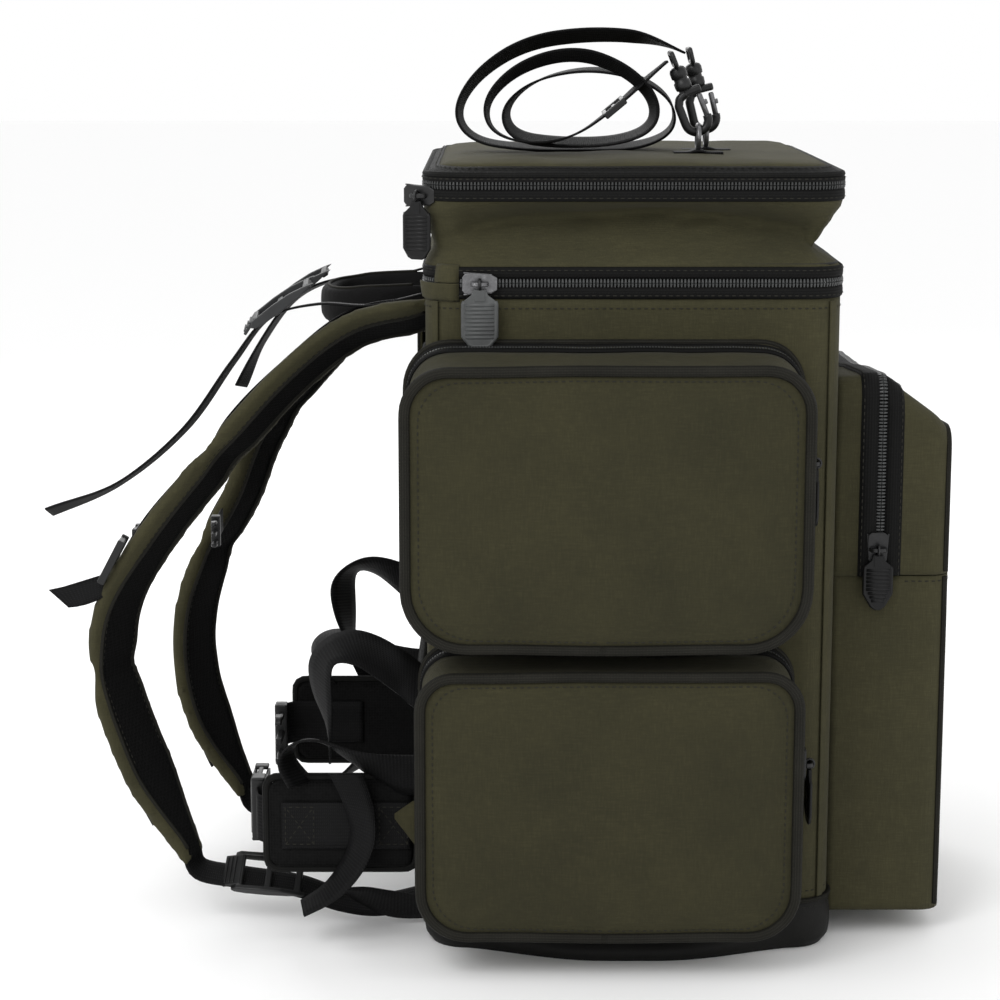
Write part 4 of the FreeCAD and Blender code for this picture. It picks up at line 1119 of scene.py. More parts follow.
    def make_zip(self, inner_edge, outer_edge):
        """Two halves of wide black tape on the cloth's edges, with teeth between them."""
        middle = [(a + b) / 2 for a, b in zip(inner_edge, outer_edge)]
        outs = []
        for tangent, point in zip(directions(middle), middle):
            out = Vector((1, 0, 0)).cross(tangent).normalized()
            outs.append(out if out.dot(Vector((0, point.y, point.z - 0.33))) > 0 else -out)
        for side, body, low in ((-1, "root", self.fold), (1, "front_flap", self.fold + 1 * MM)):
            rows = []
            for level, rise in ((0.3, -0.6), (0.3, 0.6), (3.2, 0.8), (3.7, 2.2), (9, 2.6), (14.5, 2.4),
                                (16.5, 0.4)):
                out = self.zip_out + side * level * MM
                arch = self.arch(out, low)
                rows.append([point + normal * rise * MM for point, normal in zip(arch, outs)])
            sheet_mesh(f"front_zip_tape_{body}", rows, "tape", body)
            teeth_row(f"front_zip_teeth_{body}", [point + out * 0.8 * MM
                                                  for point, out in zip(middle, outs)][1:-1],
                      outs[1:-1], [Vector((side, 0, 0))] * (len(middle) - 2), body)
        for side in (-1, 1):
            arch = self.arch(self.zip_out + side * 14.6 * MM, self.fold + 1 * MM)
            stitches(f"front_zip_stitch_{side}", [point + out * 2.6 * MM for point, out in zip(arch, outs)],
                     outs,
                     "root" if side < 0 else "front_flap")

    def make_piping(self):
        """Black piping round the front face, and the stitches beside the line that the flap turns on."""
        middle = (self.out - self.corner * ARC_SAG) + self.rear
        edge = self.half - self.corner * ARC_SAG
        for side in (-1, 1):
            line = [Vector((middle + 0.5 * MM, side * (edge + 0.5 * MM), height))
                    for height in span(self.bottom + 4 * MM, self.fold - 1 * MM, 8 * MM)]
            cord_line(f"front_piping_tub_{side}", line, 2.2 * MM, "binding", "root")
        arch = self.arch(self.out - self.corner * ARC_SAG, self.fold + 3 * MM)
        line = smoothed([point + Vector((0.8 * MM, 0, 0)) for point in arch])
        cord_line("front_piping_flap", line, 2.2 * MM, "binding", "front_flap")
        seam = [point for point in self.wall_ring(self.fold - 4 * MM)
                if point.x > self.rear + self.zip_out + 18 * MM]
        outs = [Vector((0, side, 0)) if point.x < middle else Vector((1, 0, 0))
                for point in seam for side in (math.copysign(1, point.y),)]
        line = [point + out * 0.4 * MM for point, out in zip(seam, outs)]
        stitches("front_fold_stitch", line, outs, "root")


def shrink_soft(shrink):
    """0 on the arches themselves and 1 inside the front face."""
    return 0.0 if shrink >= 1.0 else soft(1 - shrink, 0.0, 0.06)


# ---------------------------------------------------------------- small solids for fittings

def join(name, pieces, matrix=None, body=None):
    """Several pieces made one, put in place, and set riding."""
    bpy.ops.object.select_all(action="DESELECT")
    for piece in pieces:
        piece.select_set(True)
    bpy.context.view_layer.objects.active = pieces[0]
    if len(pieces) > 1:
        bpy.ops.object.join()
    whole = pieces[0]
    whole.name = name
    if matrix is not None:
        whole.data.transform(matrix)
    if body:
        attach(whole, body)
    return whole


def finished(work, name, material):
    """An object made from a working mesh."""
    data = bpy.data.meshes.new(name)
    work.to_mesh(data)
    work.free()
    data.uv_layers.new(name="UVMap")
    data.materials.append(MATERIALS[material])
    piece = bpy.data.objects.new(name, data)
    bpy.context.scene.collection.objects.link(piece)
    return piece


def block(low, high, material, bevel=0.6 * MM, turn=None):
    """A box with rounded edges; turn is a matrix for it."""
    work = bmesh.new()
    bmesh.ops.create_cube(work, size=1)
    low, high = Vector(low), Vector(high)
    for vertex in work.verts:
        vertex.co = Vector([low[axis] + (high[axis] - low[axis]) * (vertex.co[axis] + 0.5)
                            for axis in range(3)])
    if bevel:
        bmesh.ops.bevel(work, geom=list(work.edges), offset=bevel, segments=2, profile=0.6, affect="EDGES")
    if turn is not None:
        bmesh.ops.transform(work, matrix=turn, verts=work.verts)
    return finished(work, "block", material)


def plate(corners, low, high, material, bevel=0.5 * MM):
    """A flat plate: corners in the XZ plane, thickness from low to high along Y."""
    work = bmesh.new()
    face = work.faces.new([work.verts.new((x, low, z)) for x, z in corners])
    raised = bmesh.ops.extrude_face_region(work, geom=[face])
    bmesh.ops.translate(work, vec=(0, high - low, 0), verts=[item for item in raised["geom"]
                                                             if isinstance(item, bmesh.types.BMVert)])
    bmesh.ops.recalc_face_normals(work, faces=work.faces)
    bmesh.ops.bevel(work, geom=list(work.edges), offset=bevel, segments=2, profile=0.6, affect="EDGES")
    return finished(work, "plate", material)


def rod(points, radius, material, closed=False, sides=10):
    """A bent round rod."""
    return cord_line("rod", points, radius, material, None, closed, sides)


def turned(profile, material, sides=24):
    """A turned part about Z from (radius, height) pairs."""
    points, faces = [], []
    for radius, height in profile:
        points += [Vector((radius * math.cos(math.tau * k / sides), radius * math.sin(math.tau * k / sides),
                           height))
                   for k in range(sides)]
    for row in range(len(profile) - 1):
        for k in range(sides):
            after = (k + 1) % sides
            faces.append((row * sides + k, row * sides + after, (row + 1) * sides + after,
                          (row + 1) * sides + k))
    faces.append(tuple(reversed(range(sides))))
    faces.append(tuple(range((len(profile) - 1) * sides, len(profile) * sides)))
    return outward(mesh_piece("turned", points, faces, material, None, [(0, 0)] * len(points)))


def arc(centre, radius, start, end, first, second, steps=10):
    """Points on an arc in the plane of two unit vectors, angles in degrees."""
    result = []
    for step in range(steps + 1):
        angle = math.radians(start + (end - start) * step / steps)
        result.append(centre + first * radius * math.cos(angle) + second * radius * math.sin(angle))
    return result


# ---------------------------------------------------------------- zip sliders and pullers

def facing_matrix(place, facing):
    """Local +Y looks along facing, and +Z stays up."""
    facing = Vector(facing).normalized()
    across = facing.cross(UP)
    turn = Matrix((across, facing, UP)).transposed().to_4x4()
    return Matrix.Translation(place) @ turn


def make_slider(name, matrix, upright, metal, body):
    """A zip slider: two plates joined at the nose, and the bridge that carries its puller."""
    def turn_flat(x, z):
        return (-z, x) if upright else (x, z)
    shield = [turn_flat(x * MM, z * MM) for x, z in (
        (-13, -4.5), (-9, -6.6), (6, -8), (11, -7.4), (13, -5), (13, 5), (11, 7.4), (6, 8), (-9, 6.6),
        (-13, 4.5))]
    outer = plate(shield, 2.6 * MM, 4.3 * MM, metal, 0.7 * MM)
    lip_up = plate([turn_flat(x * MM, z * MM) for x, z in ((-9, 6.1), (12, 7.6), (12, 8.6), (-9, 7.1))],
                   0.8 * MM, 3.4 * MM, metal, 0.3 * MM)
    lip_down = plate([turn_flat(x * MM, z * MM) for x, z in ((-9, -7.1), (12, -8.6), (12, -7.6), (-9, -6.1))],
                     0.8 * MM, 3.4 * MM, metal, 0.3 * MM)
    arch = [mm(-6, 4, 0), mm(-5.6, 7, 0), mm(-3, 9.2, 0), mm(3, 9.2, 0), mm(5.6, 7, 0), mm(6, 4, 0)]
    bridge = swept_piece("bridge", curve_through(arch, 1.2 * MM), flat_section(3.6 * MM, 1.8 * MM),
                         lambda index: UP, metal, None)
    return join(f"{name}_slider_look", [outer, lip_up, lip_down, bridge], matrix, body)


def make_puller(name, matrix, material, body, pointed=False):
    """A long ribbed pull tab on a small wire eye. Local origin is the eye's middle."""
    eye = rod(arc(Vector((0, 0, 0)), 3.6 * MM, 0, 345, Vector((0, 1, 0)), UP, 16), 1.05 * MM, "dark_slider",
              True)
    blunt = [(-6.5, -45), (-4.5, -46), (4.5, -46), (6.5, -45)]
    tip = [(-4.5, -44), (-1.5, -46), (1.5, -46), (4.5, -44)] if pointed else blunt
    side = [(-3.6, -3.8), (-5.0, -8), (-9.8, -12.5), (-10.5, -15), (-10.5, -34 if pointed else -39)]
    corners = side + tip + [(-x, z) for x, z in reversed(side)]
    tab = plate([(x * MM, z * MM) for x, z in corners], -1.2 * MM, 1.2 * MM, material, 0.5 * MM)
    rim = [Vector((x * 0.93 * MM, 0, z * MM * 0.995)) for x, z in corners[2:-2]]
    pieces = [eye, tab, rod(rim, 1.5 * MM, material, sides=8)]
    for number in range(9):
        height = -15.5 * MM - number * 3.0 * MM
        width = 8.6 * MM if not pointed or number < 6 else (8.6 - 1.3 * (number - 5)) * MM
        pieces.append(rod([Vector((-width, 0, height)), Vector((0, 0, height)), Vector((width, 0, height))],
                          1.7 * MM,
                          material, sides=8))
    pieces.append(block((-3.4 * MM, -1.7 * MM, -13 * MM), (3.4 * MM, 1.7 * MM, -4.2 * MM), material,
                        0.8 * MM))
    return join(f"{name}_puller_look", pieces, matrix, body)


def make_zip_fittings():
    """Every slider and puller, each on its own moving body."""
    slanted = Vector((math.cos(math.radians(-118)), math.sin(math.radians(-118)), 0))
    runs = [("main", (0, -1, 0), False, "slider", "puller", False),
            ("top", slanted, False, "dark_slider", "dark_puller", False),
            ("front", (0, -1, 0), True, "dark_slider", "dark_puller", True)]
    for hand in ("left", "right"):
        for level in ("upper", "lower"):
            runs.append((f"{hand}_{level}", (1, 0, 0), True, "dark_slider", "dark_puller", False))
    for name, facing, upright, metal, grip, pointed in runs:
        pivot = Vector(JOINTS[f"{name}_puller_swing"]["pos_m"])
        facing = Vector(facing)
        place = pivot - facing * 7.5 * MM
        slider = make_slider(name, facing_matrix(place, facing), upright, metal, f"{name}_slider")
        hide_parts(f"{name}_zip_slider")
        wider = Matrix.Diagonal((1.24 if name == "main" else 1.05, 1, 1, 1))
        puller = make_puller(name, facing_matrix(pivot, facing) @ wider, grip, f"{name}_puller", pointed)
        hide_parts(f"{name}_zip_puller")


# ---------------------------------------------------------------- buckles and locks

def make_ladder_lock(name, middle, tilt, roll, grip):
    """A ladder lock: side rails, three bars, ribbed grip at one end. Local X runs along the strap."""
    rail = [(-30, 1.0), (-27, -1.6), (-18, -2.2), (0, -1.4), (14, 0.4), (30, 3.4), (24, 4.8), (10, 6.6),
            (-6, 6.4),
            (-18, 5.2), (-26, 4.6)]
    corners = [(x * MM, z * MM) for x, z in rail]
    pieces = [plate(corners, low * MM, high * MM, grip, 0.9 * MM)
              for low, high in ((-17.5, -13.6), (13.6, 17.5))]
    for along, wide, high in ((-23.5, 5, 5.0), (-1, 5.4, 4.4), (23, 5.5, 5.0)):
        pieces.append(block(((along - wide / 2) * MM, -15 * MM, 0.3 * MM),
                            ((along + wide / 2) * MM, 15 * MM, high * MM),
                            grip, 1.3 * MM))
    lean = Matrix.Translation((-24 * MM, 0, 4 * MM)) @ Matrix.Rotation(math.radians(-24), 4, "Y")
    pieces.append(block((-14 * MM, -14 * MM, -1 * MM), (1 * MM, 14 * MM, 1.4 * MM), grip, 0.9 * MM, lean))
    for number in range(3):
        pieces.append(block(((-12.5 + number * 3.6) * MM, -12 * MM, 1.0 * MM),
                            ((-11.1 + number * 3.6) * MM, 12 * MM, 2.4 * MM),
                            grip, 0.5 * MM, lean))
    turn = Matrix.Rotation(math.radians(tilt), 4, "Y") @ Matrix.Rotation(math.radians(roll), 4, "X")
    return join(name, pieces, Matrix.Translation(middle) @ turn, "root")


def make_locks():
    """The four ladder locks, where the frame has them."""
    for name, middle, tilt, roll in (("upper_left", mm(-266, -108, 497), -33, 5),
                                     ("upper_right", mm(-267, 108, 486), -32, 4),
                                     ("lower_left", mm(-284, -108, 37), 7, 40),
                                     ("lower_right", mm(-276, 108, 32), 4, 25)):
        grip = "grey_lock" if name.startswith("upper") else "buckle"
        lock = make_ladder_lock(f"{name}_lock_look", middle, tilt, roll, grip)
        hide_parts("ladder_locks")


def make_buckle_sleeve(name, scale, matrix, body):
    """A side-release buckle's sleeve, mouth towards +Y: faces, side rails with windows, ribs, a strap bar."""
    wide, thick, length = 26 * MM, 6.5 * MM, 44 * MM
    pieces = []
    for side in (-1, 1):
        low, high = sorted((side * (thick - 2.6 * MM), side * thick))
        pieces.append(plate([(x, z) for x, z in ((low, -wide + 4 * MM), (low, wide - 4 * MM),
                                                 (high, wide - 4 * MM),
                                                 (high, -wide + 4 * MM))], 8 * MM, length - 1 * MM,
                                                 "buckle", 0.9 * MM))
        rail = sorted((side * (wide - 3.4 * MM), side * wide))
        pieces.append(block((-thick + 1 * MM, 0.5 * MM, rail[0]), (thick - 1 * MM, 15 * MM, rail[1]),
                            "buckle", 1.4 * MM))
        pieces.append(block((-thick + 1 * MM, 34 * MM, rail[0]), (thick - 1 * MM, length, rail[1]),
                            "buckle", 1.4 * MM))
        pieces.append(block((-2 * MM, 14 * MM, rail[0] + 0.6 * MM), (2 * MM, 35 * MM, rail[1] - 0.6 * MM),
                            "buckle", 1.0 * MM))
    pieces.append(block((-thick + 1.2 * MM, 0.5 * MM, -wide + 2 * MM),
                        (thick - 1.2 * MM, 5.5 * MM, wide - 2 * MM), "buckle", 1.6 * MM))
    for number in range(4):
        along = (12 + number * 5.5) * MM
        pieces.append(block((-thick - 0.4 * MM, along, -wide + 7 * MM),
                            (thick + 0.4 * MM, along + 2 * MM, wide - 7 * MM),
                            "buckle", 0.7 * MM))
    return join(name, pieces, matrix @ Matrix.Diagonal((*scale, 1)), body)


def make_buckle_plug(name, scale, matrix, body):
    """The plug, prongs towards +Y: a strap bar, a ribbed shoulder, a guide and two springy arms."""
    wide, thick = 26 * MM, 6.5 * MM
    pieces = [block((-thick + 1 * MM, 7 * MM, -wide), (thick - 1 * MM, 13 * MM, wide), "buckle", 1.6 * MM),
              block((-thick + 1.4 * MM, 0.4 * MM, -wide), (thick - 1.4 * MM, 3.8 * MM, wide), "buckle",
                    1.2 * MM),
              block((-thick + 1.4 * MM, 1 * MM, -wide), (thick - 1.4 * MM, 12 * MM, -wide + 3 * MM),
                    "buckle", 1.0 * MM),
              block((-thick + 1.4 * MM, 1 * MM, wide - 3 * MM), (thick - 1.4 * MM, 12 * MM, wide), "buckle",
                    1.0 * MM),
              block((-2.6 * MM, 12 * MM, -3 * MM), (2.6 * MM, 40 * MM, 3 * MM), "buckle", 1.0 * MM)]
    for side in (-1, 1):
        arm = [Vector((0, 12 * MM, side * 17 * MM)), Vector((0, 22 * MM, side * 16 * MM)),
               Vector((0, 33 * MM, side * 20 * MM)),
               Vector((0, 39 * MM, side * 18.5 * MM)), Vector((0, 41 * MM, side * 15 * MM))]
        pieces.append(swept_piece("arm", curve_through(arm, 2 * MM), flat_section(6 * MM, 4 * MM),
                                  lambda index: Vector((1, 0, 0)), "buckle", None))
        pieces.append(block((-3.4 * MM, 26 * MM, side * 19.5 * MM - 2 * MM),
                            (3.4 * MM, 36 * MM, side * 19.5 * MM + 2 * MM),
                            "buckle", 1.2 * MM))
    return join(name, pieces, matrix @ Matrix.Diagonal((*scale, 1)), body)


def make_buckles():
    """The belt's buckle on the two fins, and the small one of the sternum strap, all undone."""
    turn = Matrix.Rotation(math.pi, 4, "Z")
    for stem, scale, female_body, male_body in (("belt_buckle", (1, 1, 1), "left_fin", "right_fin"),
                                                ("sternum_buckle", (0.7, 0.6, 0.5), "root", "root")):
        low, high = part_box(f"{stem}_female")
        spot = Vector(((low.x + high.x) / 2, low.y, (low.z + high.z) / 2))
        sleeve = make_buckle_sleeve(f"{stem}_sleeve_look", scale, Matrix.Translation(spot), female_body)
        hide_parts(f"{stem}_female")
        low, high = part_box(f"{stem}_male")
        spot = Vector(((low.x + high.x) / 2, high.y, (low.z + high.z) / 2))
        plug = make_buckle_plug(f"{stem}_plug_look", scale, Matrix.Translation(spot) @ turn, male_body)
        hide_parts(f"{stem}_male")


# ---------------------------------------------------------------- padded cloth

PADDED = []


def pad_solid(name, line, across, width, thickness, round_off=0.5):
    """A closed pad along a line: across(index) gives the width's direction, width and thickness may vary."""
    def section(share):
        wide = (width(share) if callable(width) else width) / 2
        thick = (thickness(share) if callable(thickness) else thickness) / 2
        shape = []
        for step in range(16):
            angle = math.tau * step / 16
            x, y = math.cos(angle), math.sin(angle)
            shape.append((wide * math.copysign(abs(x) ** round_off, x),
                          thick * math.copysign(abs(y) ** 0.7, y)))
        return shape
    return swept_piece(name, line, section, across, "mesh", None)


def puff(piece, cap, pinned, voxel=5 * MM, pressure=4.0):
    """Note a pad for the cloth simulation: pinned(point) is 1 where it is sewn flat."""
    modifier(piece, "REMESH", mode="VOXEL", voxel_size=voxel)
    PADDED.append((piece, cap))
    group = piece.vertex_groups.new(name="sewn")
    for vertex in piece.data.vertices:
        weight = pinned(vertex.co)
        if weight > 0:
            group.add([vertex.index], weight, "REPLACE")
    cloth = piece.modifiers.new("cloth", "CLOTH")
    settings = cloth.settings
    settings.quality = 4
    settings.mass = 0.3
    settings.tension_stiffness = 18
    settings.compression_stiffness = 18
    settings.bending_stiffness = 0.6
    settings.use_pressure = True
    settings.uniform_pressure_force = pressure
    settings.vertex_group_mass = "sewn"
    settings.effector_weights.gravity = 0
    cloth.point_cache.frame_start = 1
    cloth.point_cache.frame_end = 20


def run_cloth():
    """Blow every pad up against its seams, hold each point near where it started, and smooth it."""
    scene = bpy.context.scene
    for step in range(1, 21):
        scene.frame_set(step)
    for piece, cap in PADDED:
        start = [vertex.co.copy() for vertex in piece.data.vertices]
        final = bpy.data.meshes.new_from_object(piece.evaluated_get(bpy.context.evaluated_depsgraph_get()))
        piece.modifiers.clear()
        for vertex, origin in zip(final.vertices, start):
            move = vertex.co - origin
            if move.length > cap:
                vertex.co = origin + move * (cap / move.length)
        piece.data = final
        modifier(piece, "SMOOTH", factor=0.5, iterations=2)
        modifier(piece, "SUBSURF", levels=1, render_levels=1)
        for polygon in piece.data.polygons:
            polygon.use_smooth = True
    scene.frame_set(1)


def onto(piece, line, rise):
    """The line's points moved to the piece's surface, a little proud of it, and the normals there."""
    points, outs = [], []
    for point in line:
        _, spot, normal, _ = piece.closest_point_on_mesh(point)
        points.append(spot + normal * rise)
        outs.append(normal)
    return points, outs


def paint_faces(piece, first, second, choose):
    """Two materials on one piece: choose(centre, normal) is true where the second goes."""
    piece.data.materials.clear()
    piece.data.materials.append(MATERIALS[first])
    piece.data.materials.append(MATERIALS[second])
    for polygon in piece.data.polygons:
        polygon.material_index = 1 if choose(polygon.center, polygon.normal) else 0


class Track:
    """A strap's middle line with its width and outer directions, as the frame's strips are turned."""

    def __init__(self, pairs, offset, tilt=0.0, spacing=4 * MM):
        self.line = curve_through([mm(x, offset, z) for x, z in pairs], spacing)
        self.tangents = directions(self.line)
        self.across, self.inner = [], []
        for index, tangent in enumerate(self.tangents):
            across = Vector((0, 1, 0))
            inner = tangent.cross(across)
            turn = math.radians(tilt(index / (len(self.line) - 1)) if callable(tilt) else tilt)
            self.across.append(across * math.cos(turn) + inner * math.sin(turn))
            self.inner.append(inner * math.cos(turn) - across * math.sin(turn))
        self.last = len(self.line) - 1

    def nearest(self, point):
        """The index of the line's point nearest to a place."""
        return min(range(len(self.line)), key=lambda index: (self.line[index] - point).length_squared)

    def local(self, point):
        """(share of the length, across, inner) of a place."""
        index = self.nearest(point)
        away = point - self.line[index]
        return index / self.last, away.dot(self.across[index]), away.dot(self.inner[index])

    def shifted(self, across=0.0, inner=0.0, start=0.0, end=1.0):
        """The line moved sideways, between two shares of its length."""
        first, last = round(start * self.last), round(end * self.last)
        return [self.line[index] + self.across[index] * across + self.inner[index] * inner
                for index in range(first, last + 1)]


LEFT_PAD = [(-162, 488), (-212, 476), (-262, 438), (-318, 376), (-368, 314), (-400, 258), (-404, 204),
            (-389, 150), (-366, 96), (-344, 52)]
RIGHT_PAD = [(-164.5, 487), (-206, 470), (-258, 420), (-300, 362), (-322, 308), (-350, 254), (-366, 198),
             (-364, 142), (-346, 88), (-322, 40)]
LEFT_LOWER = [(-340, 43), (-306, 36), (-262, 29), (-228, 17), (-196, 13), (-158, 21)]
RIGHT_LOWER = [(-318, 31), (-296, 26), (-256, 24), (-220, 15), (-190, 13), (-158, 21)]
LEFT_LIFTER = [(-158, 505), (-200, 496), (-240, 497), (-278, 486), (-306, 452), (-344, 400), (-396, 357),
               (-452, 334)]
RIGHT_LIFTER = [(-158, 505), (-200, 495), (-238, 494), (-274, 478), (-302, 442), (-322, 402)]
PAD_WIDTH = 62 * MM
PAD_TILT = 28


def crease(share, spots):
    """1 on the plain pad, less where it folds; spots are (share, width, depth)."""
    return 1 - sum(depth * math.exp(-((share - place) / wide) ** 2) for place, wide, depth in spots)


class ShoulderPad:
    """One padded shoulder strap: cloth-simulated pad, bindings, seams and the webbing sewn along it."""

    def __init__(self, hand, pairs, offset, folds):
        self.hand, self.folds = hand, folds
        self.track = Track(pairs, offset, PAD_TILT)
        self.node = f"{hand}_shoulder_pad"

    def thickness(self, share):
        """The pad thins out at its ends and where it folds."""
        ends = soft(share, 0, 0.04) * (1 - soft(share, 0.96, 1.0))
        return 13.5 * MM * crease(share, self.folds) * (0.55 + 0.45 * ends)

    def width(self, share):
        """The pad narrows to its lower end."""
        return PAD_WIDTH * (1 - 0.5 * soft(share, 0.84, 1.0)) * (1 - 0.12 * (1 - crease(share, self.folds)))

    def border(self, share):
        """How far the canvas comes round the edges on to the inner face."""
        return (8 + 7 * (1 - soft(share, 0.5, 0.68))) * MM

    def sewn(self, point):
        """1 along the edge seams, the two quilting seams and the folds."""
        share, across, inner = self.track.local(point)
        half = self.width(share) / 2
        if abs(across) > half - 3.5 * MM or share < 0.015 or share > 0.985:
            return 1.0
        if inner > 0 and abs(abs(across) - half * 0.62) < 2.4 * MM:
            return 1.0
        return 1.0 if crease(share, self.folds) < 0.62 else 0.0

    def start(self):
        """The pad before its simulation."""
        track = self.track
        self.pad = pad_solid(f"{self.hand}_pad_cloth", track.line, lambda index: track.across[index],
                             self.width,
                             self.thickness, 0.45)
        puff(self.pad, 7 * MM, self.sewn)

    def finish(self):
        """Colours, seams and webbing, once the cloth has settled."""
        track = self.track
        paint_faces(self.pad, "olive", "mesh", lambda centre, normal: self.is_mesh(centre))
        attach(self.pad, "root")
        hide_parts(self.node)
        half = PAD_WIDTH / 2
        for side in (-1, 1):
            line = []
            for index in range(2, track.last - 2):
                share = index / track.last
                across = side * (self.width(share) / 2 - self.border(share))
                line.append(track.line[index] + track.across[index] * across
                            + track.inner[index] * (self.thickness(share) * 0.5 + 1 * MM))
            line, _ = onto(self.pad, line, 0.2 * MM)
            cord_line(f"{self.hand}_pad_binding_{side}", smoothed(line), 1.6 * MM, "binding", "root")
        for side in (-0.62, 0.62):
            for face in (-1, 1):
                line, outs = onto(self.pad, track.shifted(side * half, face * 10 * MM, 0.03, 0.84), 0.3 * MM)
                stitches(f"{self.hand}_pad_seam_{side}_{face}", line, outs, "root")

    def is_mesh(self, centre):
        """The face towards the wearer is air mesh; the outer face and the edges are canvas."""
        share, across, inner = self.track.local(centre)
        room = self.width(share) / 2 - self.border(share)
        return inner > 0.1 * self.thickness(share) and abs(across) < room


def band(name, track, width, thickness, material, start=0.0, end=1.0, inner=0.0, across=0.0, body="root"):
    """Webbing along a track."""
    line = track.shifted(across, inner, start, end)
    first = round(start * track.last)
    return swept_piece(name, line, flat_section(width, thickness), lambda index: track.across[first + index],
                       material, body)


def ribbon(name, edges, offset, width, body, thickness=1.8 * MM):
    """Twisted webbing near one Y.

    edges gives both edges in X and Z, and what is left of the width lies along Y.
    """
    first = curve_through([mm(x, 0, z) for (x, z), _ in edges], 4 * MM)
    second = curve_through([mm(x, 0, z) for _, (x, z) in edges], 4 * MM)
    count = max(len(first), len(second))
    rows = []
    for index in range(count):
        share = index / (count - 1)
        one, two = first[round(share * (len(first) - 1))], second[round(share * (len(second) - 1))]
        seen = (two - one).length
        deep = math.sqrt(max(0.0, width ** 2 - seen ** 2)) * math.copysign(1, offset)
        middle = (one + two) / 2 + Vector((0, offset * MM, 0))
        half = (two - one) / 2 + Vector((0, deep / 2, 0))
        if half.length < width / 2:
            half = half.normalized() * width / 2
        rows.append([middle + half * step for step in (-1, -0.5, 0, 0.5, 1)])
    for _ in range(3):
        rows = [rows[0]] + [[(a + b * 2 + c) / 4 for a, b, c in zip(before, row, after)]
                            for before, row, after in zip(rows, rows[1:], rows[2:])] + [rows[-1]]
    piece = sheet_mesh(name, rows, "webbing", body)
    modifier(piece, "SOLIDIFY", thickness=thickness, offset=0.0)
    return piece


STERNUM_TAIL_EDGES = [((-400, 291), (-404, 273)), ((-415, 286), (-416, 268)), ((-432, 281), (-427, 264)),
                      ((-450, 277), (-435, 263))]
LOOP_EDGES = [
    ((-157, 217), (-157, 184)), ((-166, 225), (-170, 192)), ((-184, 238.5), (-189.7, 209.9)),
    ((-209.5, 246.4), (-208, 224.2)), ((-228, 242.8), (-221, 229)), ((-243, 231.6), (-228.5, 227.8)),
    ((-249, 217), (-230, 218.6)), ((-244.8, 193), (-229.4, 191.5)), ((-236, 171.7), (-230.5, 166)),
    ((-233, 152), (-231, 148)),
]
HUMP_EDGES = [
    ((-245, 128), (-262, 132)), ((-256, 140), (-270, 148)), ((-263, 152), (-268, 160)),
    ((-256, 160), (-256, 169)),
    ((-240, 160), (-238, 170)), ((-222, 148), (-210, 160)), ((-200, 132), (-186, 156)),
    ((-180, 121), (-170, 155)),
    ((-157, 119), (-157, 155)),
]
TAIL_EDGES = [
    ((-232, 140), (-206, 140)), ((-222, 118), (-198, 116)), ((-216, 96), (-196, 90)),
    ((-218, 78), (-202, 72)),
    ((-226, 62), (-214, 54)), ((-238, 46), (-230, 40)), ((-256, 33), (-252, 29)),
]
ANCHOR_EDGES = [
    ((-157, 6), (-157, 28)), ((-170, 6), (-168, 31)), ((-190, 8), (-188, 34)), ((-208, 16), (-206, 38)),
    ((-226, 27), (-224, 38)),
]


def make_harness(pads):
    """Load lifters, lower straps and the webbing that runs along the shoulder pads."""
    for hand, pad, lifter, lower, offset in (("left", pads[0], LEFT_LIFTER, LEFT_LOWER, -108),
                                             ("right", pads[1], RIGHT_LIFTER, RIGHT_LOWER, 108)):
        piece = band(f"{hand}_lifter_webbing", Track(lifter, offset, lambda share: 4 + 8
                                                     * soft(share, 0.2, 0.6) + 16 * soft(share, 0.8, 1)),
                                                     20 * MM, 1.8 * MM, "webbing")
        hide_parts("load_lifter_straps")
        piece = band(f"{hand}_lower_webbing", Track([(lower[0][0] - 7, lower[0][1] + 18)] + lower, offset,
                                                    28), 25 * MM,
                     1.8 * MM, "webbing")
        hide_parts("lower_straps")
        track = pad.track
        line = []
        for index in range(round(0.05 * track.last), round(0.94 * track.last)):
            rise = pad.thickness(index / track.last) * 0.5 + (3.4 + 2.2 * math.sin(index * 0.11) ** 2) * MM
            line.append(track.line[index] - track.inner[index] * rise)
        first = round(0.05 * track.last)
        swept_piece(f"{hand}_pad_webbing", line, flat_section(25 * MM, 1.8 * MM),
                    lambda index: track.across[first + index], "webbing", "root")
    for side in (-1, 1):
        piece = ribbon(f"belt_loop_{side}", LOOP_EDGES, side * 150, 38 * MM, "root")
        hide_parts("belt_slack_loops")


def make_sternum():
    """The sternum strap's short webbing on each pad, its slide on the near pad and its loose tail."""
    slide = Matrix.Translation(mm(-399, -128, 300)) @ Matrix.Rotation(math.radians(-62), 4, "Y")
    pieces = [block((-19 * MM, -13 * MM, -2 * MM), (19 * MM, -10 * MM, 4 * MM), "buckle", 1.2 * MM),
              block((-19 * MM, 10 * MM, -2 * MM), (19 * MM, 13 * MM, 4 * MM), "buckle", 1.2 * MM)]
    for along in (-17, -1, 15):
        pieces.append(block(((along - 2.4) * MM, -12 * MM, -1 * MM), ((along + 2.4) * MM, 12 * MM, 4 * MM),
                            "buckle", 1.2 * MM))
    join("sternum_slide", pieces, slide, "root")
    ribbon("sternum_tail", STERNUM_TAIL_EDGES, -131, 19 * MM, "root")
    for name, along, start, end in (("left", -395, -76, -30), ("right", -337, 32, 76)):
        line = [mm(along, start + (end - start) * step / 10, 292) for step in range(11)]
        piece = swept_piece(f"sternum_webbing_{name}", line, flat_section(20 * MM, 1.8 * MM),
                            lambda index: UP,
                            "webbing", "root")
        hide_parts("sternum_straps")


# ---------------------------------------------------------------- back, handle and belt

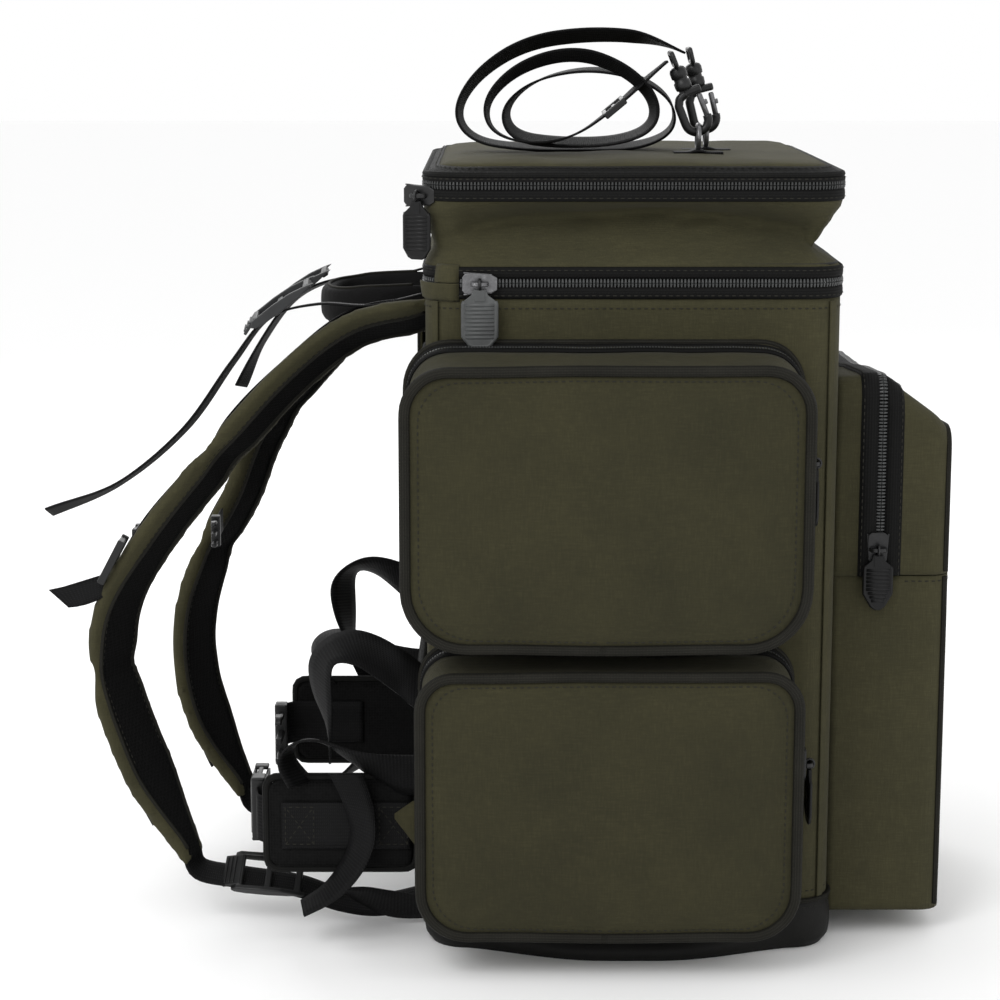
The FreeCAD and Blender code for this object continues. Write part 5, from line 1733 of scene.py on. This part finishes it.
class Slab:
    """A flat pad with rounded corners on one plane, from its middle and its two half sizes' directions."""

    def __init__(self, name, middle, first, second, thickness, radius, seams=()):
        self.name, self.middle = name, Vector(middle)
        self.first, self.second = Vector(first), Vector(second)
        self.out = self.first.cross(self.second).normalized()
        self.thickness, self.radius = thickness, radius
        self.seams = seams

    def outline(self, inset=0.0):
        """The rounded rectangle's points, in the plane."""
        wide, high = self.first.length - inset, self.second.length - inset
        radius = max(1 * MM, self.radius - inset)
        one, two = self.first.normalized(), self.second.normalized()
        result = []
        for sx, sy, turn in ((1, 1, 0), (-1, 1, 90), (-1, -1, 180), (1, -1, 270)):
            for part in range(6):
                angle = math.radians(turn + 18 * part)
                result.append(self.middle + one * (sx * (wide - radius) + radius * math.cos(angle))
                              + two * (sy * (high - radius) + radius * math.sin(angle)))
        return result

    def start(self, cap):
        """The slab before its simulation."""
        rows = []
        for inset, level in ((12, -0.5), (3, -0.5), (0, -0.25), (0, 0.25), (3, 0.5), (12, 0.5)):
            rows.append([point + self.out * self.thickness * level for point in self.outline(inset * MM)])
        low = [self.middle - self.out * self.thickness / 2] * len(rows[0])
        high = [self.middle + self.out * self.thickness / 2] * len(rows[0])
        piece = sheet_mesh(self.name, [low] + rows + [high], "mesh", None, closed=True)
        self.pad = outward(piece)
        puff(self.pad, cap, self.sewn)

    def sewn(self, point):
        """1 at the edge and along the quilting seams."""
        away = point - self.middle
        one, two = away.dot(self.first.normalized()), away.dot(self.second.normalized())
        if abs(one) > self.first.length - 4 * MM or abs(two) > self.second.length - 4 * MM:
            return 1.0
        for axis, where in self.seams:
            if abs((one if axis == 0 else two) - where) < 2.6 * MM:
                return 1.0
        return 0.0

    def finish(self, body, node, slot, edge=3.2 * MM):
        """Ride, binding round the edge."""
        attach(self.pad, body)
        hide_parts(node)
        ring = respaced(self.outline(-0.3 * MM), 5 * MM, closed=True)
        cord_line(f"{self.name}_binding", ring, edge, "rim", body, closed=True)


def make_handle_line():
    """The haul loop's middle line: out from the back, across and in again, tipped down a little."""
    points = [(-157, -53), (-196, -54), (-228, -40), (-238, 0), (-228, 40), (-196, 54), (-157, 53)]
    tilt = math.radians(6)
    return curve_through([mm(x, y, 496 + (x + 157) * math.sin(tilt)) for x, y in points], 4 * MM)


class Handle:
    """The padded haul loop."""

    def start(self):
        """Before the simulation."""
        self.line = make_handle_line()
        self.pad = pad_solid("handle_cloth", self.line, lambda index: UP, lambda share: 30 * MM * (
            0.8 + 0.2 * math.sin(math.pi * share)), lambda share: 8 * MM + 6 * MM
            * math.sin(math.pi * share) ** 0.6, 0.6)
        puff(self.pad, 4 * MM, lambda point: 1.0 if point.x > -0.165 else 0.0, 4 * MM)

    def finish(self):
        """Cloth, and a seam cord along each side."""
        paint_faces(self.pad, "black", "black", lambda centre, normal: False)
        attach(self.pad, "root")
        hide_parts("grab_handle")
        for side in (-1, 1):
            line, _ = onto(self.pad, [place + UP * side * 16 * MM for place in self.line[3:-3]], 0.2 * MM)
            cord_line(f"handle_seam_{side}", smoothed(line), 1.5 * MM, "binding", "root")


def make_pads():
    """All padded pieces: simulate them together, then dress them."""
    shoulder = [ShoulderPad("left", [(-149, 491)] + LEFT_PAD, -108, [(0.36, 0.022, 0.5), (0.705, 0.02, 0.6)]),
                ShoulderPad("right", [(-149, 491)] + RIGHT_PAD, 108, [(0.32, 0.025, 0.4), (0.57, 0.02, 0.5)])]
    low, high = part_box("back_pads")
    thick = high.x - low.x
    middle_x = (low.x + high.x) / 2 - 0.5 * MM
    backs = [Slab("lumbar_pad", (middle_x, 0, 0.140), (0, 0.109, 0), (0, 0, 0.064), thick, 15 * MM,
                  [(0, 0.0)]),
             Slab("upper_back_pad", (middle_x, 0, 0.340), (0, 0.109, 0), (0, 0, 0.099), thick, 15 * MM,
                  [(0, 0.0), (1, 0.0)])]
    fins = []
    for hand in ("left", "right"):
        low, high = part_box(f"{hand}_hip_fin")
        middle = (low + high) / 2
        fins.append(Slab(f"{hand}_fin_pad", middle, ((high.x - low.x) / 2, 0, 0),
                         (0, 0, (high.z - low.z) / 2),
                         11 * MM, 8 * MM, [(1, 23 * MM), (1, -23 * MM)]))
    handle = Handle()
    for item in shoulder:
        item.start()
    handle.start()
    for item in backs:
        item.start(4 * MM)
    for item in fins:
        item.start(4 * MM)
    run_cloth()
    for item in shoulder:
        item.finish()
    handle.finish()
    for item in backs:
        item.finish("root", "back_pads", "black_mesh")
    for item, hand in zip(fins, ("left", "right")):
        item.finish(f"{hand}_fin", f"{hand}_hip_fin", "black_fabric")
    return shoulder


def box_stitch(name, middle, half_x, half_z, out, body):
    """A sewn box with a cross in it, on an upright face that looks along Y."""
    corners = [Vector((sx * half_x, 0, sz * half_z)) + middle
               for sx, sz in ((-1, -1), (1, -1), (1, 1), (-1, 1))]
    for number, (start, end) in enumerate(((0, 1), (1, 2), (2, 3), (3, 0), (0, 2), (1, 3))):
        stitches(f"{name}_{number}", [corners[start], corners[start].lerp(corners[end], 0.5), corners[end]],
                 [out], body)


def make_belt_extras():
    """The webbing over the fins' outer faces, the slack over the near fin and the bag's corner anchors."""
    for side, hand in ((-1, "left"), (1, "right")):
        face = side * 157.4
        line = [mm(-170, face, 95), mm(-205, face, 95), mm(-240, face, 95), mm(-270, face, 95)]
        strap(f"{hand}_fin_webbing", line, 38 * MM, 1.6 * MM, UP, body=f"{hand}_fin")
        for number, along in enumerate((-183, -256)):
            box_stitch(f"{hand}_fin_box_{number}", mm(along, face + side * 1.0, 95), 11 * MM, 15 * MM,
                       Vector((0, side, 0)), f"{hand}_fin")
        ribbon(f"{hand}_belt_hump", HUMP_EDGES, side * 163, 38 * MM, "root")
        ribbon(f"{hand}_belt_tail", TAIL_EDGES, side * 168, 25 * MM, f"{hand}_fin")
        ribbon(f"{hand}_lower_anchor", ANCHOR_EDGES, side * 128, 30 * MM, "root")
        gusset = [[mm(-161, side * y, z) for y, z in ((159.4, 72), (159.6, 84), (159.6, 100), (159.4, 116))],
                  [mm(-168, side * y, z) for y, z in ((159.2, 82), (159.6, 90), (159.6, 103), (159.2, 115))],
                  [mm(-182, side * y, z) for y, z in ((158.8, 101), (159.2, 102), (159.2, 103),
                                                      (158.8, 105))]]
        sheet_mesh(f"{hand}_side_gusset", gusset, "olive", f"{hand}_fin", thickness=1.6 * MM * -side)


def make_belt():
    """Belt webbing sewn on the fins."""
    for side, hand in ((-1, "left"), (1, "right")):
        inner = (150 - 6 - 1) * side
        points = [mm(-222, inner, 95), mm(-262, inner, 95), mm(-280, inner, 95),
                  mm(-290, inner + -side * 7, 95),
                  mm(-292, inner - side * 26, 95)]
        piece = strap(f"{hand}_belt_strap", points, 38 * MM, 2 * MM, UP, body=f"{hand}_fin")
        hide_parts(f"{hand}_belt_webbing")


# ---------------------------------------------------------------- carry strap

CARRY_ROUTE = [
    (45, -22, 686), (20, -23, 698), (-30, -25, 701), (-80, -26, 694), (-118, -28, 670), (-136, -29, 640),
    (-122, -30, 618), (-80, -30, 612), (-32, -30, 612.5), (10, -31, 613), (38, -32, 626), (36, -33, 650),
    (10, -35, 668), (-32, -38, 675), (-75, -41, 665), (-98, -44, 643), (-90, -48, 622), (-55, -53, 617),
    (-8, -59, 618.5), (19, -64, 630), (20, -66, 652), (-4, -67, 675), (-42, -68, 688), (-85, -69, 677),
    (-112, -70, 651), (-108, -70, 626), (-76, -69, 616), (-42, -67, 622), (-12, -65, 644), (12, -63, 666),
    (29, -62, 680),
]
CARRY_WIDTH = 22 * MM
HOOKS = {"near": (54, -62, -22), "far": (63, -22, -14)}


def read_spline(points):
    """Points along the smooth curve that has these as its control polygon."""
    curve = bpy.data.curves.new("carry_route", "CURVE")
    curve.dimensions = "3D"
    curve.resolution_u = 12
    spline = curve.splines.new("NURBS")
    spline.points.add(len(points) - 1)
    for item, point in zip(spline.points, points):
        item.co = (*point, 1)
    spline.order_u = 3
    spline.use_endpoint_u = True
    holder = bpy.data.objects.new("carry_route", curve)
    bpy.context.scene.collection.objects.link(holder)
    bpy.context.view_layer.update()
    mesh = bpy.data.meshes.new_from_object(holder)
    line = [vertex.co.copy() for vertex in mesh.vertices]
    bpy.data.objects.remove(holder)
    return [line[0]] + [point for before, point in zip(line, line[1:]) if (point - before).length > 0.2 * MM]


def hook_matrix(name):
    """Where a snap hook's bend is, leaning in its ring."""
    along, across, lean = HOOKS[name]
    ring_top = Vector((along * MM, across * MM, RING_MIDDLE + 9 * MM))
    turn = Matrix.Rotation(math.radians(lean), 4, "Y")
    seat = turn @ Vector((0, 0, 3.6 * MM))
    return Matrix.Translation(ring_top + seat) @ turn


def make_hook(name):
    """A swivel snap hook: bent rod, yoke, turned barrel, webbing eye and gate."""
    matrix = hook_matrix(name)
    bend = [mm(9, 0, 1.2)] + arc(mm(0, 0, 0), 9 * MM, 0, -180, Vector((1, 0, 0)), UP, 14)
    bend += [mm(-9, 0, 8), mm(-9, 0, 15), mm(-6.5, 0, 20), mm(0, 0, 23)]
    hook = rod(respaced(bend, 1.6 * MM), 3.4 * MM, "buckle", sides=12)
    yoke = block((-5 * MM, -3 * MM, 20 * MM), (12 * MM, 3 * MM, 26 * MM), "buckle", 1.8 * MM)
    profile = ((3.6, 25), (6.0, 26), (6.6, 28), (6.6, 32), (5.4, 33), (5.4, 35), (6.6, 36), (6.6, 41),
               (5.6, 43), (3.4, 44.2))
    barrel = turned([(radius * MM, height * MM) for radius, height in profile], "buckle")
    frame_line = [mm(0, y, z) for y, z in ((-13, 45.5), (13, 45.5), (14, 47), (14, 54), (13, 55.5),
                                           (-13, 55.5), (-14, 54), (-14, 47))]
    eye = rod(respaced(frame_line, 2 * MM, closed=True), 1.9 * MM, "buckle", closed=True)
    whole = join(f"{name}_hook_look", [hook, yoke, barrel, eye], matrix, "top_lid")
    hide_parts(f"{name}_snap_hook")
    gate_profile = ((1.4, 0.4), (2.2, 1.2), (2.2, 17.6), (1.6, 18.7))
    gate = turned([(radius * MM, height * MM) for radius, height in gate_profile], "slider", 14)
    knob = block((1.2 * MM, -1.4 * MM, 9 * MM), (4.2 * MM, 1.4 * MM, 13 * MM), "slider", 0.8 * MM)
    latch = join(f"{name}_gate_look", [gate, knob], matrix @ Matrix.Translation((9 * MM, 0, 0)),
                 f"{name}_gate")
    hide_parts(f"{name}_hook_gate")
    return whole, latch


def make_carry_strap():
    """The flat carry strap coiled on the lid, with its two snap hooks and a slide."""
    line = read_spline([mm(*point) for point in CARRY_ROUTE])
    tangents = directions(line)
    last = len(line) - 1

    def across(index):
        """The strap lies on its edge and turns its face up here and there."""
        share = index / last
        turn = math.radians(11 + 13 * math.sin(math.tau * (1.7 * share + 0.1)) + 8
                            * math.sin(math.tau * 4.3 * share))
        turn *= soft(share, 0.0, 0.03) * (1 - soft(share, 0.97, 1.0))
        flat = Vector((0, 1, 0))
        return flat * math.cos(turn) + tangents[index].cross(flat) * math.sin(turn)
    ribbon = swept_piece("carry_strap_ribbon", line, flat_section(CARRY_WIDTH, 1.8 * MM), across, "webbing",
                         "top_lid")
    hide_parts("carry_strap")
    hooks = [piece for name in ("near", "far") for piece in make_hook(name)]
    spot = min(range(len(line)), key=lambda index: (line[index] - mm(-12, -65, 646)).length)
    side = across(spot)
    along = tangents[spot]
    turn = Matrix((along, side, along.cross(side))).transposed().to_4x4()
    pieces = [block((-10 * MM, -15 * MM, -2.6 * MM), (10 * MM, -11.8 * MM, 2.6 * MM), "buckle", 1.0 * MM),
              block((-10 * MM, 11.8 * MM, -2.6 * MM), (10 * MM, 15 * MM, 2.6 * MM), "buckle", 1.0 * MM)]
    for shift in (-8.4, 0, 8.4):
        height = 1.6 if shift == 0 else 2.4
        pieces.append(block(((shift - 1.8) * MM, -13 * MM, -height * MM),
                            ((shift + 1.8) * MM, 13 * MM, height * MM),
                            "buckle", 0.9 * MM))
    hooks.append(join("carry_strap_slide", pieces, Matrix.Translation(line[spot]) @ turn, "top_lid"))


def make_rings():
    """The two rings and the folded webbing tabs that hold them."""
    for name in ("near", "far"):
        along, across, _ = HOOKS[name]
        middle = Vector((along * MM, across * MM, RING_MIDDLE))
        ring = rod(arc(middle, 9 * MM, 0, 350, Vector((0, 1, 0)), UP, 30), 2 * MM, "slider", True, 12)
        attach(ring, "top_lid")
        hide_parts("carry_rings")
        low = LID_TOP + 1 * MM
        line = [middle + Vector((shift * MM, 0, low - middle.z + rise * MM))
                for shift, rise in ((-19, 0), (-8, 0), (-3, 1.4), (3, 1.4), (8, 0), (19, 0))]
        tab = strap(f"{name}_ring_tab_look", line, 20 * MM, 2 * MM, Vector((0, 1, 0)), body="top_lid",
                    spacing=2 * MM)
        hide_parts("ring_tabs")


# ---------------------------------------------------------------- build

def dress_hidden_nodes():
    """The stiffeners inside keep the frame's own shape, with the board's finish."""
    for name in ("base_board", "frame_sheet"):
        node = frame["nodes"][name]
        node.data.materials.clear()
        node.data.materials.append(MATERIALS["board"])


def build():
    """Everything, the camera and the carry strap first."""
    make_camera()
    make_carry_strap()
    make_rings()
    make_studio()
    make_shell()
    make_base()
    half_band("main_tape_low", MAIN_ZIP, -1, "root", zip_wave, node="main_zip_body_tape")
    half_band("main_tape_high", MAIN_ZIP, 1, "lid", zip_wave, node="main_zip_lid_tape")
    make_lid()
    make_zip_ends()
    half_band("top_tape_low", TOP_ZIP, -1, "lid", zip_wave, node="top_zip_lower_tape", teeth="dark_teeth")
    half_band("top_tape_high", TOP_ZIP, 1, "top_lid", zip_wave, 6 * MM, "top_zip_upper_tape", "dark_teeth")
    tubs = make_side_pockets()
    FrontPocket().build()
    make_zip_fittings()
    pads = make_pads()
    make_harness(pads)
    make_locks()
    make_sternum()
    make_buckles()
    make_belt()
    make_belt_extras()
    dress_hidden_nodes()
    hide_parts("pocket_zip_chains")


build()
